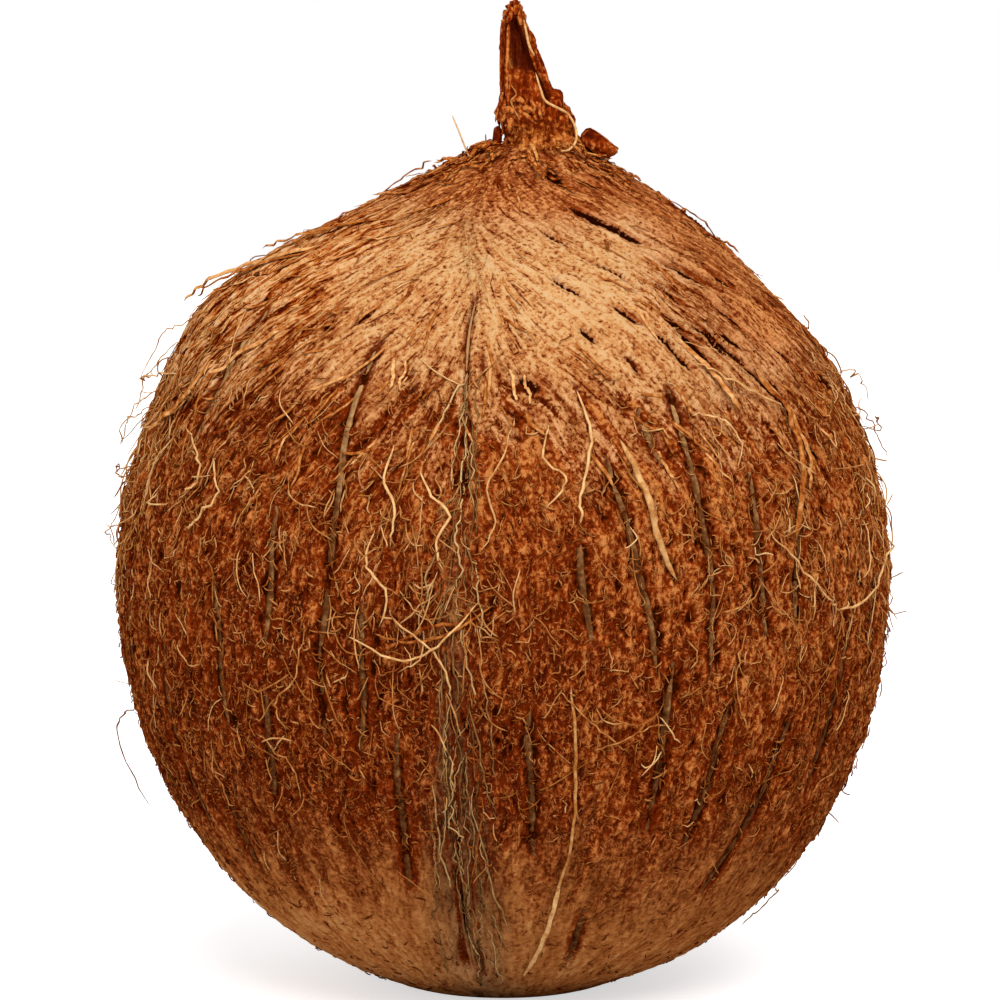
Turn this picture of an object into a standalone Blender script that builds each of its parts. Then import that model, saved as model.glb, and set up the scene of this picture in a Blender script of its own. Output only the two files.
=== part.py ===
"""A whole coconut as it is sold: the outer husk has been torn off, and what is left is the
nut in its brown fibre coat, with a standing tuft of husk over the stem end.

It grew as one piece, so it is one solid. Metres, +Z up. The origin is the centre of the small
flat spot that it rests on. The front is -Y, where the plainest of its three seams runs down.
"""

import math

import bmesh
import bpy
import numpy as np

MM = 0.001

# Driving dimensions of the nut.
WIDTH = 120 * MM
GIRTH_HEIGHT = 66.5 * MM
CROWN_HEIGHT = 129 * MM
FLAT_RADIUS = 14 * MM

# Outline: how full the lower half is, and how pointed the upper half.
LOWER_FULLNESS = 2.2
UPPER_SHOULDER = 2.4
UPPER_TAPER = 0.9
POINT_HEIGHT = 132 * MM  # where the sides would meet if the crown ran to a point

# The crown, where the tuft stands, leans a little to the right.
LEAN = 4 * MM
LEAN_FROM = 0.78  # share of the crown's height where the lean begins

# Three seams, a third of a turn apart, stand proud of the coat as low ribs.
SEAM_AZIMUTHS = [math.radians(-7 + 120 * turn) for turn in range(3)]
SEAM_PROUD = 1.0 * MM
SEAM_HALF_WIDTH = 2.6 * MM
SEAM_FADE = 6 * MM  # over this height a seam rises from the flat spot

# A nut is never quite round: it swells a little between the seams and to one side.
SWELL_SHARE = 0.008
SIDE_SHARE = 0.006
SIDE_AZIMUTH = math.radians(70)

# Husk left round the foot of the tuft: a low ragged collar.
COLLAR_RADIUS = 12 * MM
COLLAR_HALF_WIDTH = 3.5 * MM
COLLAR_PROUD = 1.3 * MM
COLLAR_TEETH = 11

# The tuft: a folded blade of husk. Its left edge stands upright, and its right edge slopes.
TUFT_TOP = 152 * MM
TUFT_FOOT = 123 * MM  # sunk in the crown
TUFT_LEFT_EDGE = -0.4 * MM
TUFT_HALF_WIDTHS = [6.6 * MM, 6.2 * MM, 5.9 * MM, 5.1 * MM, 3.6 * MM, 2.6 * MM, 1.5 * MM]
TUFT_DEPTH_SHARE = 0.62  # its thickness from front to back, as a share of its width
TUFT_CLEFT = 0.3  # depth of the fold down its front, as a share of its thickness
TUFT_CLEFT_HALF_ANGLE = math.radians(28)

# A chip of husk that lies torn over to the right of the tuft.
CHIP_LENGTH = 8 * MM
CHIP_WIDTH = 5.5 * MM
CHIP_THICKNESS = 2.4 * MM
CHIP_EDGE = 0.6 * MM
CHIP_PLACE = (12.6 * MM, -1.0 * MM, 127.2 * MM)
CHIP_SLOPE = math.radians(38)

SEGMENTS = 72
RINGS = 46
TUFT_SEGMENTS = 24

HUSK_BROWN = (0.24, 0.09, 0.025)


def material(name, colour, roughness):
    """A plain finish: fibre isn't metallic, and it scatters nearly all its light."""
    made = bpy.data.materials.new(name)
    made.use_nodes = True
    shader = made.node_tree.nodes["Principled BSDF"]
    shader.inputs["Base Color"].default_value = (*colour, 1)
    shader.inputs["Roughness"].default_value = roughness
    shader.inputs["Metallic"].default_value = 0
    return made


def outline():
    """(radius, height) pairs up the nut's side, evenly spaced along it.

    Below the girth the side is a superellipse, cut off by the flat spot; above it, the radius
    falls as a power of the height, which gives a round shoulder and a conical crown.
    """
    widest = WIDTH / 2
    cut = (1 - (FLAT_RADIUS / widest) ** LOWER_FULLNESS) ** (1 / LOWER_FULLNESS)
    drop = np.linspace(cut, 0, 200)
    lower_radius = widest * (1 - drop**LOWER_FULLNESS) ** (1 / LOWER_FULLNESS)
    lower_height = GIRTH_HEIGHT * (1 - drop / cut)
    rise_end = (CROWN_HEIGHT - GIRTH_HEIGHT) / (POINT_HEIGHT - GIRTH_HEIGHT)
    rise = np.linspace(0, rise_end, 200)[1:]
    upper_radius = widest * (1 - rise**UPPER_SHOULDER) ** UPPER_TAPER
    upper_height = GIRTH_HEIGHT + rise * (POINT_HEIGHT - GIRTH_HEIGHT)
    radius = np.concatenate([lower_radius, upper_radius])
    height = np.concatenate([lower_height, upper_height])
    along = np.concatenate([[0], np.cumsum(np.hypot(np.diff(radius), np.diff(height)))])
    even = np.linspace(0, along[-1], RINGS)
    return np.interp(even, along, radius), np.interp(even, along, height)


def smooth_step(low, high, value):
    """0 below low, 1 above high, and a smooth rise between them."""
    share = np.clip((value - low) / (high - low), 0, 1)
    return share * share * (3 - 2 * share)


def proud_of_outline(azimuth, radius, height):
    """How far the surface stands out of the turned outline: swell, seams and collar."""
    swell = radius * SWELL_SHARE * -np.cos(3 * (azimuth - SEAM_AZIMUTHS[0]))
    side = radius * SIDE_SHARE * np.cos(azimuth - SIDE_AZIMUTH)
    seams = 0
    for seam in SEAM_AZIMUTHS:
        turn = np.remainder(azimuth - seam + math.pi, 2 * math.pi) - math.pi
        seams = seams + np.exp(-((turn * radius / SEAM_HALF_WIDTH) ** 2))
    seams = seams * SEAM_PROUD * smooth_step(0, SEAM_FADE, height)
    ragged = 0.7 + 0.3 * np.sin(COLLAR_TEETH * azimuth)
    upper = smooth_step(GIRTH_HEIGHT, CROWN_HEIGHT, height)
    collar = np.exp(-(((radius - COLLAR_RADIUS) / COLLAR_HALF_WIDTH) ** 2)) * upper
    on_the_flat = height > 0
    return (swell + side) * on_the_flat + seams, collar * ragged * COLLAR_PROUD


def loft(name, rings):
    """A closed solid through rings of points, each ring counter-clockwise seen from above."""
    shape = bmesh.new()
    loops = [[shape.verts.new(point) for point in ring] for ring in rings]
    for lower, upper in zip(loops, loops[1:]):
        for j in range(len(lower)):
            k = (j + 1) % len(lower)
            shape.faces.new((lower[j], lower[k], upper[k], upper[j]))
    shape.faces.new(loops[0][::-1])
    shape.faces.new(loops[-1])
    mesh = bpy.data.meshes.new(name)
    shape.to_mesh(mesh)
    shape.free()
    made = bpy.data.objects.new(name, mesh)
    bpy.context.scene.collection.objects.link(made)
    return made


def nut():
    """The nut in its coat: its outline turned round, with seams, collar and lean added."""
    azimuth = np.arange(SEGMENTS) * 2 * math.pi / SEGMENTS
    rings = []
    for radius, height in zip(*outline()):
        outward, upward = proud_of_outline(azimuth, radius, height)
        reach = radius + outward
        lean = LEAN * smooth_step(LEAN_FROM * CROWN_HEIGHT, CROWN_HEIGHT, height)
        rings.append(
            np.stack(
                [reach * np.sin(azimuth) + lean, -reach * np.cos(azimuth), height + upward],
                axis=1,
            )
        )
    return loft("coconut", rings)


def tuft():
    """The standing blade of husk: oval rings that narrow upwards, folded in down the front."""
    around = np.arange(TUFT_SEGMENTS) * 2 * math.pi / TUFT_SEGMENTS
    levels = np.linspace(0, 1, len(TUFT_HALF_WIDTHS))
    from_front = np.remainder(around + math.pi, 2 * math.pi) - math.pi
    fold = np.exp(-((from_front / TUFT_CLEFT_HALF_ANGLE) ** 2))
    rings = []
    for level, half_width in zip(levels, TUFT_HALF_WIDTHS):
        half_depth = half_width * TUFT_DEPTH_SHARE * (1 - TUFT_CLEFT * fold)
        centre = TUFT_LEFT_EDGE + half_width
        height = TUFT_FOOT + (TUFT_TOP - TUFT_FOOT) * level
        rings.append(
            np.stack(
                [
                    centre + half_width * np.sin(around),
                    -half_depth * np.cos(around),
                    np.full(TUFT_SEGMENTS, height),
                ],
                axis=1,
            )
        )
    return loft("tuft_shape", rings)


def chip():
    """The torn chip: a small slab with rounded edges, sloping down to the right."""
    shape = bmesh.new()
    bmesh.ops.create_cube(shape, size=1)
    bmesh.ops.scale(shape, vec=(CHIP_LENGTH, CHIP_WIDTH, CHIP_THICKNESS), verts=shape.verts)
    bmesh.ops.bevel(
        shape, geom=shape.edges, offset=CHIP_EDGE, segments=2, profile=0.5, affect="EDGES"
    )
    mesh = bpy.data.meshes.new("chip_shape")
    shape.to_mesh(mesh)
    shape.free()
    made = bpy.data.objects.new("chip_shape", mesh)
    made.location = CHIP_PLACE
    made.rotation_euler = (0, CHIP_SLOPE, 0)
    bpy.context.scene.collection.objects.link(made)
    return made


def grow_into(body, addition):
    """Joins a shape to the body as one solid. The shape itself is then only a guide."""
    joint = body.modifiers.new(addition.name, "BOOLEAN")
    joint.operation = "UNION"
    joint.solver = "EXACT"
    joint.object = addition
    addition.hide_render = True
    addition.display_type = "WIRE"


def main():
    for old in list(bpy.data.objects):
        bpy.data.objects.remove(old)
    coconut = nut()
    coconut.data.materials.append(material("fibre_coat", HUSK_BROWN, 0.9))
    for addition in (tuft(), chip()):
        grow_into(coconut, addition)


main()
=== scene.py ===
import math
from functools import partial

import bpy
import numpy as np
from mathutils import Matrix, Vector


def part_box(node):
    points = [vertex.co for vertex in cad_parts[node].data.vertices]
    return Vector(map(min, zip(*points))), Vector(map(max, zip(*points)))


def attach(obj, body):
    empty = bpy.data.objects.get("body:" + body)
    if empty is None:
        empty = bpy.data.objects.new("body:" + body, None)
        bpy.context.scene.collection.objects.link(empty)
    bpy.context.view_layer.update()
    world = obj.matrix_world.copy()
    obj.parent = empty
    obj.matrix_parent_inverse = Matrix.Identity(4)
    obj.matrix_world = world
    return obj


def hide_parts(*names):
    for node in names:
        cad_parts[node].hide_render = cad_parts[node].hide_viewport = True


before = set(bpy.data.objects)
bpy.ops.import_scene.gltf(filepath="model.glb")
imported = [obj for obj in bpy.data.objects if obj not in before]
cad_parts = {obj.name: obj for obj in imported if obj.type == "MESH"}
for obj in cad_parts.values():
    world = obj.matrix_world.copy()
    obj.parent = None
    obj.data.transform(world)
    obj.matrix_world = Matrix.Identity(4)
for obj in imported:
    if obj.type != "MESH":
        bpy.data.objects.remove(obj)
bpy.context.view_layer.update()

MM = 0.001


# ------------------------------------------------------------------ the nut's form
# The nut under its coat: round at the girth, conical towards the stem end, and flat where it
# rests. It grew in one piece, with three low seams where its three carpels met. Everything
# else lies on this surface, so it is worked out first, from the box of the CAD model.
box_low, box_high = (np.array(corner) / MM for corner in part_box("coconut"))
GIRTH_RADIUS = (box_high[0] - box_low[0]) / 2
TALL = box_high[2]
GIRTH_HEIGHT = 0.4375 * TALL
CROWN_HEIGHT = 0.8487 * TALL
POINT_HEIGHT = 0.8684 * TALL  # where the sides would meet if the crown ran to a point
FLAT_RADIUS = 0.233 * GIRTH_RADIUS
LOWER_FULLNESS = 2.2
UPPER_SHOULDER = 2.4
UPPER_TAPER = 0.9
LEAN = 4.0  # the crown leans this far to the right
LEAN_FROM = 0.78 * CROWN_HEIGHT
SWELL_SHARE = 0.008
SIDE_SHARE = 0.006
SIDE_AZIMUTH = math.radians(70)
SEAM_AZIMUTHS = [math.radians(-7 + 120 * turn) for turn in range(3)]
SEAM_PROUD = 0.8
SEAM_HALF_WIDTH = 2.6
# Flatter places, where the nut grew against its neighbours: azimuth in degrees, height, how far
# each reaches round and up, and how deep it is. One is less than 0: there the nut swells out.
FLATS = [
    (-90, 86, 50, 16, 1.2),
    (90, 88, 50, 16, 1.3),
    (88, 114, 50, 9, 1.0),
    (-90, 107, 45, 9, -1.9),
    (-95, 20, 50, 22, 1.0),
    (175, 40, 60, 24, 0.8),
]


def smooth_step(low, high, value):
    """0 below low, 1 above high, and between them 3 s^2 - 2 s^3 of the share s."""
    share = np.clip((value - low) / (high - low), 0, 1)
    return share * share * (3 - 2 * share)


def outline():
    """Distance along, radius and height up the nut's side, from the middle of the flat spot.

    Below the girth, the side is a superellipse that the flat spot cuts off. Above it, the
    radius is (1 - rise^shoulder)^taper of the girth's. A disc closes each end.
    """
    cut = (1 - (FLAT_RADIUS / GIRTH_RADIUS) ** LOWER_FULLNESS) ** (1 / LOWER_FULLNESS)
    drop = cut * (1 - np.linspace(0, 1, 400) ** 1.5)
    lower_radius = GIRTH_RADIUS * (1 - drop**LOWER_FULLNESS) ** (1 / LOWER_FULLNESS)
    lower_height = GIRTH_HEIGHT * (1 - drop / cut)
    rise_end = (CROWN_HEIGHT - GIRTH_HEIGHT) / (POINT_HEIGHT - GIRTH_HEIGHT)
    rise = rise_end * (1 - (1 - np.linspace(0, 1, 400)[1:]) ** 1.5)
    upper_radius = GIRTH_RADIUS * (1 - rise**UPPER_SHOULDER) ** UPPER_TAPER
    upper_height = GIRTH_HEIGHT + rise * (POINT_HEIGHT - GIRTH_HEIGHT)
    radius = np.concatenate([[0], lower_radius, upper_radius, [0]])
    height = np.concatenate([[0], lower_height, upper_height, [CROWN_HEIGHT + 1.5]])
    along = np.concatenate([[0], np.cumsum(np.hypot(np.diff(radius), np.diff(height)))])
    even = np.linspace(0, along[-1], 1200)
    return even, np.interp(even, along, radius), np.interp(even, along, height)


ALONG, RADIUS, HEIGHT = outline()
SIDE_SLOPE = np.arctan2(np.gradient(HEIGHT), np.gradient(RADIUS))
MERIDIAN = ALONG[-1]


def radius_at(along):
    return np.interp(along, ALONG, RADIUS)


def height_at(along):
    return np.interp(along, ALONG, HEIGHT)


def along_at(height):
    """The distance along the meridian at which the side reaches a height above the flat."""
    return np.interp(height, HEIGHT[1:], ALONG[1:])


def outward(azimuth, along):
    """Unit vectors that stand straight out of the nut: the meridian's slope, a quarter turn on."""
    slope = np.interp(along, ALONG, SIDE_SLOPE)
    level = np.sin(slope)
    return np.stack(
        [level * np.sin(azimuth), -level * np.cos(azimuth), -np.cos(slope)], axis=-1
    )


def from_seam(azimuth):
    """The turn from the nearest seam, in radians."""
    third = 2 * math.pi / 3
    return np.remainder(azimuth - SEAM_AZIMUTHS[0] + third / 2, third) - third / 2


def sway(height):
    """How far each seam, and the pattern with it, turns aside from its own meridian.

    Towards the stem end the seams swing to the left, as the nut leans to the right.
    """
    swing = 1.8 * smooth_step(60, 85, height) - 19 * smooth_step(106, 130, height)
    return np.radians(swing)


def on_nut(azimuth, along, lift):
    """Points at a lift above the nut, given by azimuth and by distance along the meridian.

    The turned outline, swollen between the seams and to one side, with flatter places, each
    exp(-turn^2 - rise^2) deep, and with the crown leaning.
    """
    radius = radius_at(along)
    height = height_at(along)
    swell = SWELL_SHARE * -np.cos(3 * (azimuth - SEAM_AZIMUTHS[0]))
    side = SIDE_SHARE * np.cos(azimuth - SIDE_AZIMUTH)
    reach = radius * (1 + swell + side)
    lean = LEAN * smooth_step(LEAN_FROM, CROWN_HEIGHT, height)
    for middle, level, half_turn, half_rise, depth in FLATS:
        away = np.remainder(np.degrees(azimuth) - middle + 180, 360) - 180
        bell = np.exp(-((away / half_turn) ** 2) - ((height - level) / half_rise) ** 2)
        lift = lift - depth * bell * smooth_step(0, 6, height)
    flat = np.stack([reach * np.sin(azimuth) + lean, -reach * np.cos(azimuth), height], axis=-1)
    points = flat + outward(azimuth, along) * lift[..., None]
    points[..., 2] = np.maximum(points[..., 2], 0)
    return points


# ------------------------------------------------------------------ the coir coat
# What the nut wears: pith and coir that tore when the husk came off. Over the crown it is a
# tan skin split along its fibres; round the girth the skin is gone and the pith is crumbled;
# towards the base it is worn smooth. It is one tissue with the nut, drawn in three thirds
# that meet at the seams, each closed at the nut's axis.
# Each third's rows and columns.
COAT_GRID = {"coat_right": (296, 272), "coat_back": (232, 216), "coat_left": (296, 272)}
SLOPES = np.random.default_rng(3).normal(size=(32, 3)).astype(np.float32)
SLOPES /= np.linalg.norm(SLOPES, axis=1, keepdims=True)


def noise(points, cell, seed):
    """Gradient noise from about -1 to 1, with cells of the given size.

    Each whole coordinate has a slope drawn from its hash. The value is the eight corners'
    slopes, each times the way to it, blended with 6 s^5 - 15 s^4 + 10 s^3.
    """
    at = points / cell
    corner = np.floor(at)
    share = (at - corner).astype(np.float32)
    corner = corner.astype(np.int64)
    ease = share**3 * (share * (share * 6 - 15) + 10)
    total = np.zeros(share.shape[:-1], np.float32)
    for step in np.ndindex(2, 2, 2):
        x, y, z = (corner[..., axis] + step[axis] for axis in range(3))
        key = (x * 73856093) ^ (y * 19349663) ^ (z * 83492791) ^ (seed * 2654435761)
        key = ((key ^ (key >> 13)) * 1274126177) & 0x7FFFFFFF
        slope = SLOPES[(key >> 9) & 31]
        weight = np.prod(np.where(step, ease, 1 - ease), axis=-1)
        total += weight * np.sum((share - np.array(step, np.float32)) * slope, axis=-1)
    return total * 1.7


def along_fibres(azimuth, along, level):
    """Points on an upright cylinder of the girth's radius, halved level times.

    Fibres run from the stem end to the base, so a pattern drawn out along the cylinder follows
    them. The narrower the nut, the higher the level that keeps the pattern's width.
    """
    size = GIRTH_RADIUS / 2.0**level
    return np.stack([size * np.sin(azimuth), size * np.cos(azimuth), along + 0 * size], axis=-1)


def narrowing(along):
    """How many times the nut's radius has halved from the girth's."""
    return np.log2(GIRTH_RADIUS / np.maximum(radius_at(along), 3.0))


def fan_share(turn):
    """How fully the fibres slant, by the turn from the front seam: tanh(turn / 10 degrees) times
    the cube of cos(turn / 2).
    """
    return np.tanh(turn / math.radians(10)) * np.cos(turn / 2) ** 3


# Above the girth the fibres leave the front seam and fan out like a feather's barbs. The slant
# is the tangent of their greatest angle with the meridian, by height.
FAN_SLANT = np.interp(HEIGHT, (62, 75, 88, 100, 118, 129), (0, 0.35, 0.72, 0.85, 0.85, 0.3))
FAN_RISE = np.cumsum(FAN_SLANT / np.maximum(RADIUS, 3)) * ALONG[1]
FAN_TURNS = math.pi / (1 + np.exp(-np.linspace(-9, 9, 900)))
FAN_SUMS = np.cumsum(np.gradient(FAN_TURNS) / fan_share(FAN_TURNS))


def fan_turn(azimuth):
    """The turn from the front seam, and its sign."""
    turn = np.remainder(azimuth - SEAM_AZIMUTHS[0] + math.pi, 2 * math.pi) - math.pi
    return np.clip(np.abs(turn), FAN_TURNS[0], FAN_TURNS[-1]), np.where(turn < 0, -1, 1)


def fanned(azimuth, along):
    """The azimuth at which each place's fibre crosses the girth, and how closely fibres lie.

    Down a fibre, the turn t from the front seam grows by slant * fan_share(t) / radius for
    each millimetre. So the sum of 1 / fan_share up to t, plus that of slant / radius up to
    here, stays the same along it: it is looked up here, and turned back at the girth. The
    closeness is how many times a pattern laid out round the girth has halved its width.
    """
    turn, side = fan_turn(azimuth)
    total = np.interp(turn, FAN_TURNS, FAN_SUMS) + np.interp(along, ALONG, FAN_RISE)
    at_girth = np.interp(total, FAN_SUMS, FAN_TURNS)
    slant = np.interp(along, ALONG, FAN_SLANT) * fan_share(turn)
    closer = fan_share(at_girth) / fan_share(turn) * np.hypot(1, slant)
    closeness = np.clip(narrowing(along) + np.log2(closer), -1, 4.5)
    return SEAM_AZIMUTHS[0] + side * at_girth, closeness


def fan_heading(azimuth, along):
    """The angle at which the fibres leave the meridian downwards, to the right if positive."""
    turn, side = fan_turn(azimuth)
    return side * np.arctan(np.interp(along, ALONG, FAN_SLANT) * fan_share(turn))


def grain(azimuth, closeness, along, across, length, seed):
    """Noise drawn out along the fibres, in cells of across by length all over the nut.

    Two neighbouring levels of along_fibres are blended by the closeness.
    """
    cell = np.array([across, across, length])
    total = np.zeros(np.shape(azimuth), np.float32)
    for level in range(-1, 5):
        weight = np.clip(1 - np.abs(closeness - level), 0, 1)
        if level == 4:
            weight = np.clip(closeness - 3, 0, 1)
        used = weight > 0
        if used.any():
            points = along_fibres(azimuth[used], along[used], level) / cell
            total[used] += weight[used] * noise(points, 1.0, seed + level * 17)
    return total


def bell(value, width):
    """1 where a value is 0, fading out within twice a width of it: exp(-(value / width)^2)."""
    return np.exp(-((value / width) ** 2))


# Veins: smooth grey-brown cords that lie in furrows of the coat. Each is given by its top and its
# bottom, as azimuth in degrees and height, and by its half width where that isn't the usual
# one. These are the ones that the front shows.
FRONT_VEINS = [
    (-23, 103, -27, 44), (-6, 109, -5.5, 80, 0.28), (16, 86, 22, 55), (28, 96, 31, 54),
    (22, 92, 24, 86), (48, 80, 45, 62), (-59, 56, -60, 29), (-45, 67, -45, 45), (-36, 50, -39, 34),
    (-20, 65, -21, 44), (-50, 34, -50, 24), (-15, 46, -17, 22), (24, 56, 24, 31), (35, 51, 31, 28),
    (47, 46, 40, 20), (16, 17, 17, 9), (-53, 105, -55, 86), (-63, 100, -70, 70), (66, 84, 70, 50),
    (60, 60, 56, 34), (-72, 66, -76, 36), (78, 92, 80, 66), (-34, 78, -36, 58), (11, 74, 12, 60),
    (38, 84, 40, 60), (4, 50, 5, 28),
]
# Cracks in the skin, each as a vein is given, with its half width at the end.
FRONT_CRACKS = [
    (30, 127.5, 35, 124.5, 1.0), (28, 122, 43, 116, 0.8), (42, 114, 50, 109.5, 0.8),
    (19, 108, 25, 104.5, 0.4), (31, 106.5, 37, 95, 0.5), (-6.5, 27, -6, 14, 0.25),
    (37, 105, 40, 100, 0.35), (42, 104, 46, 100.5, 0.55), (27, 104, 31, 98, 0.3),
    (44, 126, 53, 123.5, 0.6), (-60, 106, -52, 109.5, 0.3), (-38, 102, -35, 106, 0.25),
    (-58, 102, -49, 107, 0.35), (-71, 113, -60, 118, 0.45), (-79, 108, -63, 111, 0.45),
    (48, 97, 53, 84, 0.7), (39, 104, 48, 94, 0.5), (-31, 104, -28, 107.5, 0.25),
    (-17.5, 98.8, -18.2, 96.6, 1.0), (2, 98, 3.5, 95, 0.9), (-12, 101, -12.6, 99.4, 0.4),
    (10, 112, 13.5, 108.5, 0.28), (22, 114, 27, 110.5, 0.3), (15, 118.5, 20, 115.5, 0.28),
    (33, 111, 38, 107, 0.35), (46, 108, 50, 103.5, 0.4), (53, 113, 58, 109, 0.45),
    (20, 101, 22.5, 97.5, 0.32), (55, 103, 59, 97, 0.4), (61, 109, 65, 104, 0.4),
    (13, 105, 15.5, 102, 0.28),
]
REST_SPAN = (84, 276)  # azimuths, in degrees, that the front doesn't show


def with_the_rest(front, spacing, tops, lengths, slant, half_widths):
    """Lines listed for the front, with others drawn at random over the rest of the nut.

    spacing and slant are in degrees of azimuth. A listed line without a half width takes the
    first one.
    """
    draw = np.random.default_rng(len(front))
    rest = []
    for azimuth in np.arange(*REST_SPAN, spacing):
        top = draw.uniform(*tops)
        turned = azimuth + draw.normal(0, 0.3 * spacing)
        low = top - draw.uniform(*lengths)
        width = draw.uniform(*half_widths)
        rest.append((turned, top, turned + draw.normal(0, slant), low, width))
    return np.array([(*line, half_widths[0])[:5] for line in front] + rest, float)


VEINS = with_the_rest(
    FRONT_VEINS, spacing=5.5, tops=(45, 108), lengths=(14, 50), slant=2.0, half_widths=(0.7, 0.7)
)
CRACKS = with_the_rest(
    FRONT_CRACKS, spacing=5.0, tops=(94, 125), lengths=(3, 10), slant=4.0, half_widths=(0.2, 0.5)
)
COAT_SUNK = 0.6  # loose ends stand out of the coat, so it lies this far inside the nut's outline
LAYERS_PER_RADIAN = 7.5  # layers of the skin, counted round the girth from the front seam
# How light the coat is by height: each amount comes in from the first height to the second. It is
# partly its own colour and partly painted light: the foot is painted lighter, as the floor's light on
# it.
TONE_BY_HEIGHT = [
    (34, 118, 0.52), (30, 8, 0.45), (70, 40, 0.1), (56, 82, 0.3), (82, 104, -0.3), (111, 126, -0.35),
]


def line_azimuth(line, height):
    """A line's azimuth at a height: a straight run from end to end, with a slight waver."""
    top_azimuth, top, bottom_azimuth, bottom = line[:4]
    share = (top - height) / (top - bottom)
    waver = 0.4 * np.sin(height / 6.1 + top_azimuth) + 0.15 * np.sin(height / 2.7 + top)
    return np.radians(top_azimuth + (bottom_azimuth - top_azimuth) * share + waver)


def beside(lines, azimuth, along, fade, aside=0):
    """How far each place is from the nearest line, and how far past that line's ends.

    The first is in half widths of the line, positive away from the front seam, and 4 at most.
    The second rises from 0 on the line to 1 past its ends. aside shifts each place across,
    which makes a line ragged.
    """
    aside = np.broadcast_to(aside, np.shape(azimuth))
    height = height_at(along)
    radius = radius_at(along)
    nearest = np.full(np.shape(azimuth), 4.0)
    past = np.ones(np.shape(azimuth))
    for line in lines:
        top, bottom = max(line[1], line[3]), min(line[1], line[3])
        near = (height < top + fade) & (height > bottom - fade)
        away = azimuth[near] - line_azimuth(line, height[near])
        away = (np.remainder(away + math.pi, 2 * math.pi) - math.pi) * radius[near] + aside[near]
        away = np.clip(away / line[4], -4, 4) * (1 if line[0] > -7 else -1)
        within = smooth_step(bottom - fade, bottom + fade, height[near])
        within = within * smooth_step(top + fade, top - fade, height[near])
        closer = np.abs(away) + 4 * (1 - within) < np.abs(nearest[near]) + 4 * past[near]
        nearest[near] = np.where(closer, away, nearest[near])
        past[near] = np.where(closer, 1 - within, past[near])
    return nearest, past


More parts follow.
